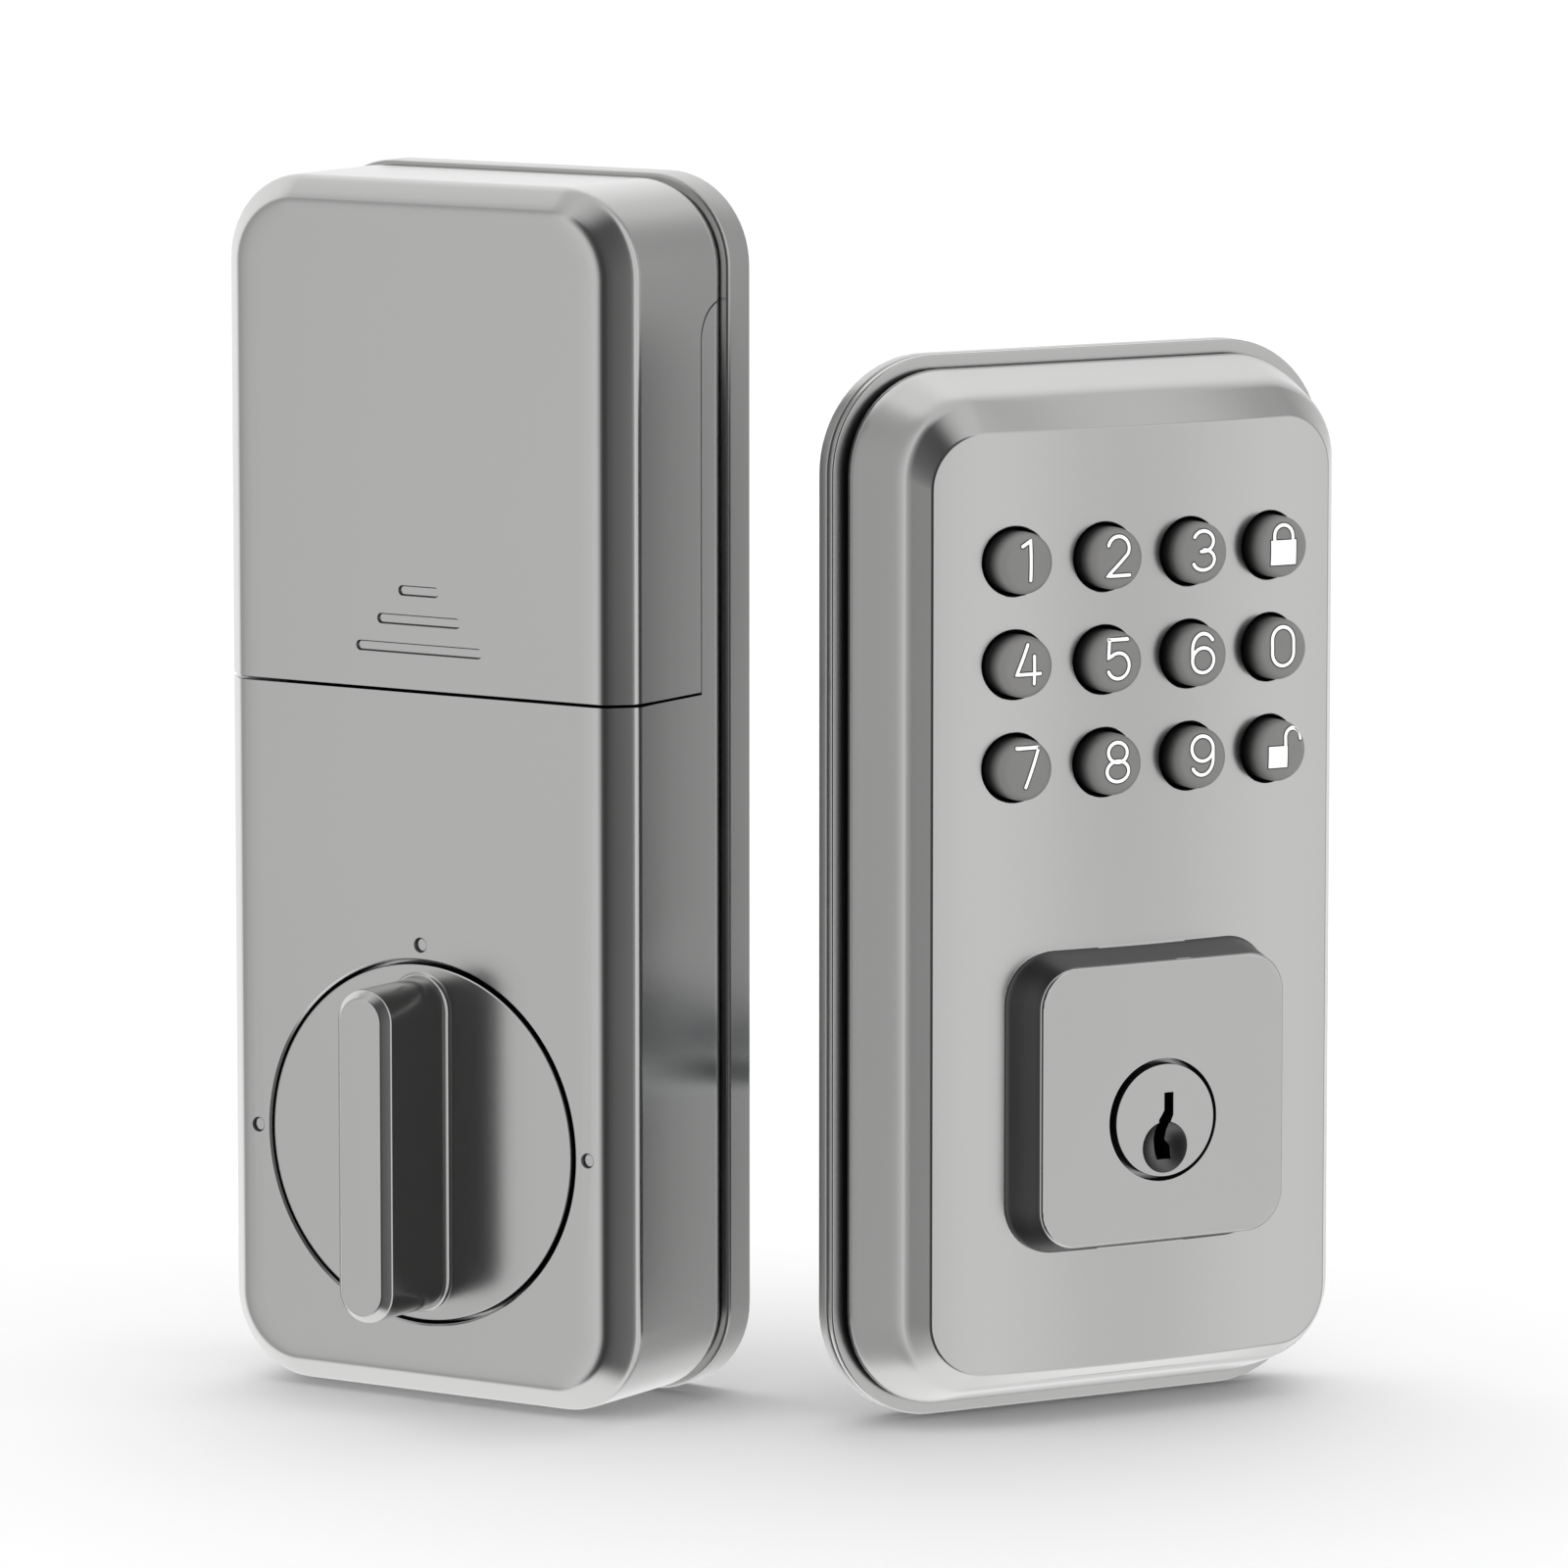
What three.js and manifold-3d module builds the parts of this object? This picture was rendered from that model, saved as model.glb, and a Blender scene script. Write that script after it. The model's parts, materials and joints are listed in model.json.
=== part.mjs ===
// Keypad smart lock for a door: the indoor unit (thumb turn, gear drive and battery bay) and the
// outdoor unit (keypad and key cylinder), standing upright side by side and toed apart.
// Each unit is drawn in a frame of its own: x to its right and z up as one faces it, y from its
// front into its depth. Lengths are millimetres.
import * as THREE from "three";
import { mergeVertices } from "three/addons/utils/BufferGeometryUtils.js";
import Module from "manifold-3d";

// ---------- driving dimensions ----------
// front and back are depths, bottom and top are heights, places are [x, z].
const GAP = 0.3; // clearance between neighbouring pieces
const OVERCUT = 1; // how far a cutting tool runs past the face it cuts
const EMBED = 0.2; // how far a boss runs into the wall it stands on
const END_FLAT = 0.1; // flat left at the middle of a full-round end
const REACH = 200; // longer than either unit, for a tool that cuts right across it
const SIDES = [-1, 1];

const INDOOR_PLACE = { x: -43.97, y: -8.55, yawDeg: -32.46 };
const OUTDOOR_PLACE = { x: 44.01, y: -19.19, yawDeg: 29.17 };

// indoor unit
const INDOOR = { width: 60, height: 150, depth: 22.1, corner: 10.8, wall: 1.8, frontWall: 2, lift: 0.5 };
const INDOOR_BEVEL = { size: 3.1, bulgeDepth: 0.93, bulgeInset: 1.86 }; // rounded chamfer of the front
const INDOOR_CURL = { depth: 2, inset: 0.8 }; // wall drawn in just before the back plate
const SEAM = { z: 88, gap: 0.35 }; // joint line between housing and battery cover
const COVER = { sideDepth: 17.05, shoulderZ: 131.3, shoulderRadius: 4.75 }; // the cover's reach backwards
const ARROW_BARS = [ // finger marks pressed into the cover, which point up
  { width: 18.4, z: 93.4 },
  { width: 12.1, z: 96.9 },
  { width: 5.8, z: 100.5 },
];
const ARROW_BAR = { height: 1.2, depth: 0.5 };
const SHELF = { bottom: 84.2, top: 86, notchHalfWidth: 8 }; // floor of the battery bay, notched for wires
const EAR = { // tab behind the battery tray that carries the housing screws
  front: 19.3, bottom: 130, step: 1, rootHalfWidth: 28.5, rootTop: 134.5, halfWidth: 24, top: 146.5,
};
const BACK_PLATE = { width: 61, height: 151, corner: 11.3, front: 22.5, back: 27.5, floor: 25.2, rim: 2 };
const BACK_PLATE_HOLES = { bolt: 2.75, spindle: 9, cable: { width: 22, height: 12, corner: 3, z: 62 } };
const HOUSING_SCREW = {
  x: 18, z: 141.5, headRadius: 2.9, headFront: 17.4, headBack: 19, shaftRadius: 1.5, shaftEnd: 26.4,
};
const HOUSING_SCREW_HOLE = { radius: 1.8, back: 26.9, postRadius: 3.2 };

// thumb turn and gear train
const SPINDLE_Z = 32.4;
const DISC = { radius: 22.15, holeRadius: 22.65, thickness: 2.6 };
const GRIP = { length: 39, width: 6.4, baseLength: 41, baseWidth: 8, height: 13, edge: 0.4 };
const SHAFT = { radius: 5, end: 18.5, flat: 4, flatFront: 11.1, slotFront: 8, slotHalfHeight: 4.1 };
const CLIP = { front: 15.4, back: 16.2, radius: 7.2, innerRadius: 4.5, grooveRadius: 4.2, mouth: 2 };
const SEAT = { radius: 24.5, front: 1, floor: 2.9, back: 4.4, hubRadius: 5.4 }; // bearing of the disc
const DIMPLE = { radius: 0.875, ring: 24.5, depth: 0.5 };
const GEAR_THICKNESS = 2.8;
const GEAR_LAYERS = [4.8, 8.2, 11.6]; // front faces of the three gear planes
const FINE_MODULE = 0.6;
const COARSE_MODULE = 0.8;
const TEETH = { motor: 10, wheel: 36, pinion: 12, drive: 36 };
const TOOTH = { addendum: 0.85, dedendum: 1.15, rootShare: 1.6, tipShare: 0.5, backlash: 0.3 };
const GEAR_BORE = 1.3;
const GEAR_HUB_RADIUS = 3;
const AXLE = { radius: 1, front: 3.6, back: 16.2 };
const AXLE_BOSS = { radius: 2.4, front: 1.5, floor: 3.3 };
const GEAR_PLATE = { front: 15, back: 16.4, corner: 2.5 };
const GEAR_PLATE_LOBES = [
  { width: 24.5, height: 18, x: -6.75, z: 70.2 },
  { width: 26.5, height: 18, x: 6.25, z: 53.8 },
];
const GEAR_POST = { radius: 2.5, front: 1.5, boreRadius: 1.3, boreFront: 8 };
const GEAR_POST_PLACES = [[-16, 76], [16, 48.5]];
const GEAR_SCREW = { headRadius: 2.2, headFront: 18, headBack: 16.7, shaftRadius: 1, shaftEnd: 9.5 };
const MOTOR = { width: 12, height: 10, corner: 2.5, front: 8.2, back: 21.6, bearingDeg: 20 };
const MOTOR_BORE = { radius: 1.05, back: 12.5 };
const MOTOR_BRACKET = { front: 9, back: 20, halfHeight: 4 };
const ARBOR = { radius: 0.75, back: 12 };
const ARBOR_BORE = 0.5;

// battery bay
const BATTERY = { radius: 7.25, length: 50.5, nubRadius: 2.75, nubLength: 1.2, tip: 25.7 };
const BATTERY_DEPTH = 9.35;
const BATTERY_Z = [94.55, 109.15, 123.75, 138.35];
const TRAY = { width: 55.8, bottom: 86.3, top: 146.2, corner: 8.4, front: 9.5, back: 18.1 };
const TRAY_POCKET = { x: 25.8, back: 14, margin: 2 }; // recess for the contacts at each end
const TRAY_SCREW_ACCESS = { radius: 3.3, front: 12 };
const CONTACT = { x: 26.1, thickness: 0.4, front: 5.4, back: 13.3, reach: 4.6 };
const SPRING = { tipRadius: 2.2, footRadius: 3.6, reach: 1, embed: 0.1 };
const INDOOR_BOARD = { width: 48, height: 37, corner: 1.5, z: 110.5, front: 20.3, back: 21.9 };
const BOARD_NOTCH = { halfWidth: 2, top: 94 };
const SOCKET = { halfWidth: 7, sideWall: 1.2 };
const INDOOR_SOCKET = { front: 18.4, back: 20, bottom: 92.6, top: 98, wall: 0.4, floor: 1.6 };

// outdoor unit
const OUTDOOR = { width: 66.4, height: 127.2, corner: 12.5, lift: 1.5, wallEnd: 14.8 };
const FACE = { width: 56.2, bottomInset: 5.5, topInset: 6.7, corner: 6.8 };
const CROWN = { rise: 2.6, overhang: 0.5, steps: 10, back: 4, trimBack: 3.5 }; // arched front of the face
const SHOULDER = { depth: 5.5, inset: 3.1 }; // outer edge of the chamfer round the face
const OUTDOOR_CURL = { depth: 0.8, inset: 0.9 };
const CAVITY_FLOOR = { y: 4.6, w: 50, h: 109, r: 5 };
const CAVITY_MOUTH = { w: 62, h: 122.6, r: 9 };
const FLANGE = { width: 69.4, height: 130.2, corner: 14 };
const FLANGE_CABLE_SLOT = { width: 18, height: 10, corner: 3, z: 62 };
const TRIM_PLATE = { front: 15.1, back: 16.1 };
const BASE_PLATE = { front: 16.4, back: 18.5 };
const GASKET = { front: 18.8, back: 19.8, inset: 2 };
const FLANGE_SCREW_PLACES = [[-23.5, 14], [23.5, 14], [-23.5, 116], [23.5, 116]];
const FLANGE_SCREW = { headRadius: 2.7, headFront: 18.4, headBack: 17.4, shaftRadius: 1.25, shaftEnd: 9 };
const FLANGE_SCREW_HOLE = { radius: 1.6, front: 8.5, sinkRadius: 3, sinkFront: 17.1 };
const FLANGE_BOSS = { radius: 3, front: 3.5, back: 14.2 };
const KEY_NAMES = [
  ["key_1", "key_2", "key_3", "key_lock"],
  ["key_4", "key_5", "key_6", "key_0"],
  ["key_7", "key_8", "key_9", "key_unlock"],
];
const KEY_PITCH = { across: 12, up: 12.5 };
const KEY_FIELD_X = 0.6;
const KEY_ROW_Z = 93.8; // height of the middle row
const KEY = { radius: 3.85, proud: 2.9, edge: 0.6, collarRadius: 5.6, holeRadius: 4.2, holeBack: 6 };
const COLLAR = { front: 5, back: 6.2 };
const DOME = { radius: 2.2, tip: 4.3, recessRadius: 2.7, recessDepth: 2.2 };
const MEMBRANE = { front: 8.2, back: 9, width: 49, height: 37.4, corner: 2 };
const KEYPAD_BOARD = { front: 9.3, back: 10.7, width: 50, bottom: 68, top: 112.5, corner: 1.5 };
const OUTDOOR_SOCKET = { front: 11, back: 14, bottom: 69, top: 75, wall: 0.6, floor: 1.5 };
const BOSS = { size: 34.4, corner: 5, front: -5.2, edge: 0.35, z: 40.2 };
const BOSS_FLARE = { size: 1, front: -0.4, back: 1, root: 3 };
const CYLINDER_Z = 37.85;
const PLUG = { radius: 6.35, faceRadius: 7.15, ringRadius: 7.5, lipBack: -3.6, back: 24.5 };
const KEYWAY = { width: 1.6, top: 4.3, bottom: -5.6, depth: 18 };
const CYLINDER = { radius: 9, front: -3, back: 24, chamberWidth: 10, chamberHeight: 16 };
const POST = { x: 19.5, radius: 3, front: 12.7, back: 40, boreRadius: 1.9, boreDepth: 12 };
const PILLAR = { radius: 4.8, front: 3, back: 14.2 };
const TAIL = { width: 2, height: 7.8, headRadius: 5.6, headBack: 26, end: 58 };
const TAIL_CAP = { radius: 8, front: 24.8, floor: 26.3, back: 28.3 };

const SCREW_RECESS = { share: 0.4, depth: 0.6 };

const wasm = await Module();
wasm.setup();

// ---------- materials ----------
const FINISHES = {
  satin_nickel: [0xb4b4b2, 0.34, 1], // colour, roughness, metalness
  zinc: [0xa6a8aa, 0.5, 1],
  steel: [0xc2c4c6, 0.3, 1],
  brass: [0xc9a759, 0.32, 1],
  key_rubber: [0x8b8a88, 0.6, 0],
  black_plastic: [0x202022, 0.55, 0],
  white_plastic: [0xe3e0d8, 0.45, 0],
  silicone: [0x4a4b4d, 0.7, 0],
  foam: [0x1b1b1c, 0.9, 0],
  board: [0x1d5a38, 0.45, 0],
  battery: [0x2f3238, 0.35, 0.3],
};

function finish(name) {
  const [color, roughness, metalness] = FINISHES[name];
  return new THREE.MeshStandardMaterial({ color, roughness, metalness });
}

// ---------- solids ----------
function solidOf(geometry) {
  const bare = geometry.clone();
  bare.deleteAttribute("normal");
  bare.deleteAttribute("uv");
  const merged = mergeVertices(bare, 1e-4);
  const vertProperties = merged.attributes.position.array;
  const triVerts = Uint32Array.from(merged.index.array);
  return new wasm.Manifold(new wasm.Mesh({ numProp: 3, vertProperties, triVerts }));
}

function geometryOf(solid) {
  const mesh = solid.getMesh();
  const geometry = new THREE.BufferGeometry();
  geometry.setAttribute("position", new THREE.BufferAttribute(mesh.vertProperties, 3));
  geometry.setIndex(new THREE.BufferAttribute(mesh.triVerts, 1));
  geometry.computeVertexNormals();
  return geometry;
}

// Two distances across the unit, the lesser first.
const span = (a, b) => [Math.min(a, b), Math.max(a, b)];

const join = (first, ...others) => others.reduce((whole, piece) => whole.add(piece), first);
const cut = (first, ...tools) => tools.reduce((whole, tool) => whole.subtract(tool), first);

function roundedRect(width, height, radius, x = 0, z = 0) {
  const [w, h] = [width / 2 - radius, height / 2 - radius];
  const shape = new THREE.Shape();
  shape.absarc(x + w, z - h, radius, -Math.PI / 2, 0);
  shape.absarc(x + w, z + h, radius, 0, Math.PI / 2);
  shape.absarc(x - w, z + h, radius, Math.PI / 2, Math.PI);
  shape.absarc(x - w, z - h, radius, Math.PI, Math.PI * 1.5);
  shape.closePath();
  return shape;
}

// A flat outline in x and z given thickness from front to back.
function slab(shape, front, back, curveSegments = 4) {
  const geometry = new THREE.ExtrudeGeometry(shape, {
    depth: back - front, bevelEnabled: false, curveSegments,
  });
  geometry.rotateX(Math.PI / 2);
  geometry.translate(0, back, 0);
  return solidOf(geometry);
}

// An outline in depth and height carried across the unit from one x to another.
function sideSlab(shape, left, right) {
  const geometry = new THREE.ExtrudeGeometry(shape, {
    depth: right - left, bevelEnabled: false, curveSegments: 5,
  });
  const across = new THREE.Matrix4().makeBasis(
    new THREE.Vector3(0, 1, 0), new THREE.Vector3(0, 0, 1), new THREE.Vector3(1, 0, 0),
  );
  geometry.applyMatrix4(across);
  geometry.translate(left, 0, 0);
  return solidOf(geometry);
}

function block(x0, x1, y0, y1, z0, z1) {
  const geometry = new THREE.BoxGeometry(x1 - x0, y1 - y0, z1 - z0);
  geometry.translate((x0 + x1) / 2, (y0 + y1) / 2, (z0 + z1) / 2);
  return solidOf(geometry);
}

function rod(x, z, radius, front, back, segments = 16) {
  const geometry = new THREE.CylinderGeometry(radius, radius, back - front, segments);
  geometry.translate(x, (front + back) / 2, z);
  return solidOf(geometry);
}

function crossRod(y, z, radius, left, right, segments = 16, endRadius = radius) {
  const geometry = new THREE.CylinderGeometry(radius, endRadius, right - left, segments);
  geometry.rotateZ(Math.PI / 2);
  geometry.translate((left + right) / 2, y, z);
  return solidOf(geometry);
}

// A turned shape about an axis along the depth: profile points are [radius, depth], front to back.
function turned(x, z, profile, segments = 20) {
  const points = profile.map(([radius, depth]) => new THREE.Vector2(radius, depth));
  const geometry = new THREE.LatheGeometry(points, segments);
  geometry.translate(x, 0, z);
  return solidOf(geometry);
}

// A closed skin through rounded rectangles of one centre line, front to back.
function loft(stations, segments = 4) {
  const rings = stations.map(({ y, w, h, r, x = 0, z }) => {
    const points = roundedRect(w, h, r, x, z).getPoints(segments);
    return points.slice(0, -1).map((point) => [point.x, y, point.y]);
  });
  const count = rings[0].length;
  const index = [];
  for (let i = 1; i < count - 1; i += 1) {
    index.push(0, i, i + 1);
    const last = (rings.length - 1) * count;
    index.push(last, last + i + 1, last + i);
  }
  for (let ring = 0; ring < rings.length - 1; ring += 1) {
    for (let i = 0; i < count; i += 1) {
      const next = (i + 1) % count;
      const [a, b] = [ring * count + i, ring * count + next];
      const [c, d] = [b + count, a + count];
      index.push(a, d, c, a, c, b);
    }
  }
  const geometry = new THREE.BufferGeometry();
  const positions = new Float32Array(rings.flat(2));
  geometry.setAttribute("position", new THREE.BufferAttribute(positions, 3));
  geometry.setIndex(index);
  return solidOf(geometry);
}

// A spur gear between two depths; phase turns it so that a tooth points along that angle.
function gear(x, z, teeth, module, front, phase, bore = GEAR_BORE) {
  const pitchRadius = (teeth * module) / 2;
  const tip = pitchRadius + TOOTH.addendum * module;
  const root = pitchRadius - TOOTH.dedendum * module;
  const step = (2 * Math.PI) / teeth;
  const halfTooth = step / 4 - TOOTH.backlash / 2 / pitchRadius;
  const [atRoot, atTip] = [halfTooth * TOOTH.rootShare, halfTooth * TOOTH.tipShare];
  const corners = [[root, -atRoot], [tip, -atTip], [tip, atTip], [root, atRoot]];
  const points = [];
  for (let tooth = 0; tooth < teeth; tooth += 1) {
    for (const [radius, offset] of corners) {
      const angle = phase + tooth * step + offset;
      points.push(new THREE.Vector2(x + radius * Math.cos(angle), z + radius * Math.sin(angle)));
    }
  }
  const wheel = slab(new THREE.Shape(points), front, front + GEAR_THICKNESS);
  return cut(wheel, rod(x, z, bore, front - OVERCUT, front + GEAR_THICKNESS + OVERCUT, 10));
}

const indoor = new THREE.Group();
const outdoor = new THREE.Group();

function add(group, name, solid, finishName) {
  const mesh = new THREE.Mesh(geometryOf(solid), finish(finishName));
  mesh.name = name;
  group.add(mesh);
}

// A screw along the depth, with its head at either end; headFront is the driven side of the head.
function screw([x, z], { headRadius, headFront, headBack, shaftRadius, shaftEnd }) {
  const head = rod(x, z, headRadius, ...span(headFront, headBack), 10);
  const shaft = rod(x, z, shaftRadius, ...span(shaftEnd, headBack), 6);
  const { share, depth } = SCREW_RECESS;
  const recess = rod(x, z, headRadius * share, headFront - depth, headFront + depth, 6);
  return cut(join(head, shaft), recess);
}

// A cable socket that stands on a board and opens downwards.
function cableSocket({ front, back, bottom, top, wall, floor }) {
  const { halfWidth, sideWall } = SOCKET;
  const inside = halfWidth - sideWall;
  return cut(
    block(-halfWidth, halfWidth, front, back, bottom, top),
    block(-inside, inside, front + wall, back - wall, bottom - OVERCUT, top - floor),
  );
}

// ---------- indoor unit ----------
const indoorMiddleZ = INDOOR.lift + INDOOR.height / 2;

function indoorStation(y, inset) {
  return {
    y, w: INDOOR.width - 2 * inset, h: INDOOR.height - 2 * inset, r: INDOOR.corner - inset, z: indoorMiddleZ,
  };
}

function indoorInside(front, back) {
  const { width, height, corner, wall } = INDOOR;
  return slab(roundedRect(width - 2 * wall, height - 2 * wall, corner - wall, 0, indoorMiddleZ), front, back);
}

const indoorBody = loft([
  indoorStation(0, INDOOR_BEVEL.size),
  indoorStation(INDOOR_BEVEL.bulgeDepth, INDOOR_BEVEL.bulgeInset),
  indoorStation(INDOOR_BEVEL.size, 0),
  indoorStation(INDOOR.depth - INDOOR_CURL.depth, 0),
  indoorStation(INDOOR.depth, INDOOR_CURL.inset),
]);

// The space that the battery cover takes, with its bottom edge, side edge and shoulder.
function coverZone(bottom, sideDepth, shoulder) {
  const round = COVER.shoulderRadius;
  const outline = new THREE.Shape();
  outline.moveTo(-REACH, bottom);
  outline.lineTo(sideDepth, bottom);
  outline.lineTo(sideDepth, shoulder);
  outline.absarc(sideDepth + round, shoulder, round, Math.PI, Math.PI / 2, true);
  outline.lineTo(REACH, shoulder + round);
  outline.lineTo(REACH, REACH);
  outline.lineTo(-REACH, REACH);
  outline.closePath();
  return sideSlab(outline, -REACH, REACH);
}

const up = Math.PI / 2;
const motorAngle = THREE.MathUtils.degToRad(MOTOR.bearingDeg);
const lastWheelZ = SPINDLE_Z + ((TEETH.drive + TEETH.pinion) * COARSE_MODULE) / 2;
const firstWheelZ = lastWheelZ + ((TEETH.wheel + TEETH.pinion) * FINE_MODULE) / 2;
const motorReach = ((TEETH.wheel + TEETH.motor) * FINE_MODULE) / 2;
const motorX = motorReach * Math.cos(motorAngle);
const motorZ = firstWheelZ + motorReach * Math.sin(motorAngle);

const gearAxleZ = [lastWheelZ, firstWheelZ];

function buildIndoorHousing() {
  const { width, depth, frontWall } = INDOOR;
  const hollow = indoorInside(frontWall, depth + OVERCUT).subtract(
    block(-width, width, -OVERCUT, depth + 2 * OVERCUT, SHELF.bottom, SHELF.top),
  );
  const opening = coverZone(SEAM.z, COVER.sideDepth + GAP, COVER.shoulderZ - GAP);
  const shell = cut(indoorBody, hollow, opening);
  const ears = join(
    block(-EAR.rootHalfWidth, EAR.rootHalfWidth, EAR.front, depth, EAR.bottom, EAR.rootTop),
    block(-EAR.halfWidth, EAR.halfWidth, EAR.front, depth, EAR.bottom + EAR.step, EAR.top),
  );
  const seat = rod(0, SPINDLE_Z, SEAT.radius, SEAT.front, SEAT.back, 32);
  const posts = GEAR_POST_PLACES.map(
    ([x, z]) => rod(x, z, GEAR_POST.radius, GEAR_POST.front, GEAR_PLATE.front - GAP, 8),
  );
  const bosses = gearAxleZ.map((z) => rod(0, z, AXLE_BOSS.radius, AXLE_BOSS.front, SEAT.back, 8));
  const { front, back, halfHeight } = MOTOR_BRACKET;
  const bracketLeft = motorX + MOTOR.width / 2 + GAP;
  const bracket = block(bracketLeft, EAR.rootHalfWidth, front, back, motorZ - halfHeight, motorZ + halfHeight);
  const solid = join(shell, ears, seat, bracket, ...posts, ...bosses);
  const dimples = [0, 1, 2].map((quarter) => {
    const angle = (quarter * Math.PI) / 2;
    const [x, z] = [DIMPLE.ring * Math.cos(angle), SPINDLE_Z + DIMPLE.ring * Math.sin(angle)];
    return rod(x, z, DIMPLE.radius, -OVERCUT, DIMPLE.depth, 6);
  });
  const notch = SHELF.notchHalfWidth;
  const bores = [
    rod(0, SPINDLE_Z, DISC.holeRadius, -OVERCUT, SEAT.floor, 32),
    rod(0, SPINDLE_Z, SEAT.hubRadius, 0, SEAT.back + OVERCUT, 16),
    block(-notch, notch, COVER.sideDepth + GAP, depth + OVERCUT, SHELF.bottom - OVERCUT, SHELF.top + OVERCUT),
  ];
  const axleHoles = gearAxleZ.map((z) => rod(0, z, GEAR_BORE, AXLE_BOSS.floor, SEAT.back + OVERCUT, 8));
  const postHoles = GEAR_POST_PLACES.map(
    ([x, z]) => rod(x, z, GEAR_POST.boreRadius, GEAR_POST.boreFront, GEAR_PLATE.front, 6),
  );
  const earHoles = SIDES.map((side) => rod(
    side * HOUSING_SCREW.x, HOUSING_SCREW.z, HOUSING_SCREW_HOLE.radius, EAR.front - OVERCUT, depth + OVERCUT, 8,
  ));
  return cut(solid, ...bores, ...dimples, ...axleHoles, ...postHoles, ...earHoles);
}

function buildBatteryCover() {
  const zone = coverZone(SEAM.z + SEAM.gap, COVER.sideDepth, COVER.shoulderZ);
  const shell = cut(indoorBody.intersect(zone), indoorInside(INDOOR.wall, INDOOR.depth + OVERCUT));
  const marks = ARROW_BARS.map(({ width, z }) => {
    const outline = roundedRect(width, ARROW_BAR.height, ARROW_BAR.height / 2 - END_FLAT, 0, z);
    return slab(outline, -OVERCUT, ARROW_BAR.depth, 3);
  });
  return cut(shell, ...marks);
}

function buildBackPlate() {
  const { width, height, corner, front, back, floor, rim } = BACK_PLATE;
  const middle = height / 2;
  const outer = slab(roundedRect(width, height, corner, 0, middle), front, back);
  const pocket = roundedRect(width - 2 * rim, height - 2 * rim, corner - rim, 0, middle);
  const tray = cut(outer, slab(pocket, front - OVERCUT, floor));
  const hole = HOUSING_SCREW_HOLE;
  const { x, z } = HOUSING_SCREW;
  const posts = SIDES.map((side) => rod(side * x, z, hole.postRadius, front, floor + EMBED, 8));
  const tapped = SIDES.map((side) => rod(side * x, z, hole.radius, front - OVERCUT, hole.back, 8));
  const { bolt, spindle, cable } = BACK_PLATE_HOLES;
  const bolts = SIDES.map((side) => rod(side * POST.x, SPINDLE_Z, bolt, front, back + OVERCUT, 10));
  const spindleHole = rod(0, SPINDLE_Z, spindle, front, back + OVERCUT, 16);
  const cableSlot = slab(
    roundedRect(cable.width, cable.height, cable.corner, 0, cable.z), front, back + OVERCUT, 2,
  );
  return cut(join(tray, ...posts), ...tapped, ...bolts, spindleHole, cableSlot);
}

function buildThumbTurn() {
  const disc = rod(0, SPINDLE_Z, DISC.radius, 0, DISC.thickness, 32);
  const { length, width, baseLength, baseWidth, height, edge } = GRIP;
  const round = width / 2 - END_FLAT;
  const grip = loft([
    { y: -height, w: width - 2 * edge, h: length - 2 * edge, r: round - edge, z: SPINDLE_Z },
    { y: edge - height, w: width, h: length, r: round, z: SPINDLE_Z },
    { y: DISC.thickness / 2, w: baseWidth, h: baseLength, r: baseWidth / 2 - END_FLAT, z: SPINDLE_Z },
  ]);
  const shaft = rod(0, SPINDLE_Z, SHAFT.radius, DISC.thickness / 2, SHAFT.end, 16);
  const [below, above] = [SPINDLE_Z - 2 * SHAFT.radius, SPINDLE_Z + 2 * SHAFT.radius];
  const end = SHAFT.end + OVERCUT;
  const flats = SIDES.map((side) => block(
    ...span(side * SHAFT.flat, side * 2 * SHAFT.flat), SHAFT.flatFront, end, below, above,
  ));
  const grooveTool = cut(
    rod(0, SPINDLE_Z, 2 * SHAFT.radius, CLIP.front - GAP, CLIP.back + GAP, 12),
    rod(0, SPINDLE_Z, CLIP.grooveRadius, 0, SHAFT.end, 16),
  );
  const slotX = TAIL.width / 2 + GAP;
  const slotZ = SHAFT.slotHalfHeight;
  const slot = block(-slotX, slotX, SHAFT.slotFront, end, SPINDLE_Z - slotZ, SPINDLE_Z + slotZ);
  return cut(join(disc, grip, shaft), ...flats, grooveTool, slot);
}

function buildDriveGear(phase) {
  const { radius, flat, end } = SHAFT;
  const bore = rod(0, SPINDLE_Z, radius + GAP, 0, end, 16).intersect(
    block(-flat - GAP, flat + GAP, 0, end, SPINDLE_Z - 2 * radius, SPINDLE_Z + 2 * radius),
  );
  return cut(gear(0, SPINDLE_Z, TEETH.drive, COARSE_MODULE, GEAR_LAYERS[2], phase), bore);
}

function buildClip() {
  const { front, back, radius, innerRadius, mouth } = CLIP;
  return cut(
    rod(0, SPINDLE_Z, radius, front, back, 16),
    rod(0, SPINDLE_Z, innerRadius, front - OVERCUT, back + OVERCUT, 16),
    block(mouth, 2 * radius, front - OVERCUT, back + OVERCUT, SPINDLE_Z - mouth, SPINDLE_Z + mouth),
  );
}

// Wheel and pinion of one reduction stage, in neighbouring gear planes.
function buildReductionGear(z, layer, pinionModule, wheelPhase) {
  const pinionPhase = Math.PI / TEETH.pinion - up;
  const wheel = gear(0, z, TEETH.wheel, FINE_MODULE, GEAR_LAYERS[layer], wheelPhase);
  const pinion = gear(0, z, TEETH.pinion, pinionModule, GEAR_LAYERS[layer + 1], pinionPhase);
  const hubBack = GEAR_LAYERS[layer + 1] + EMBED;
  const hub = cut(
    rod(0, z, GEAR_HUB_RADIUS, GEAR_LAYERS[layer] + OVERCUT, hubBack, 12),
    rod(0, z, GEAR_BORE, 0, hubBack + OVERCUT, 10),
  );
  return join(wheel, hub, pinion);
}

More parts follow.
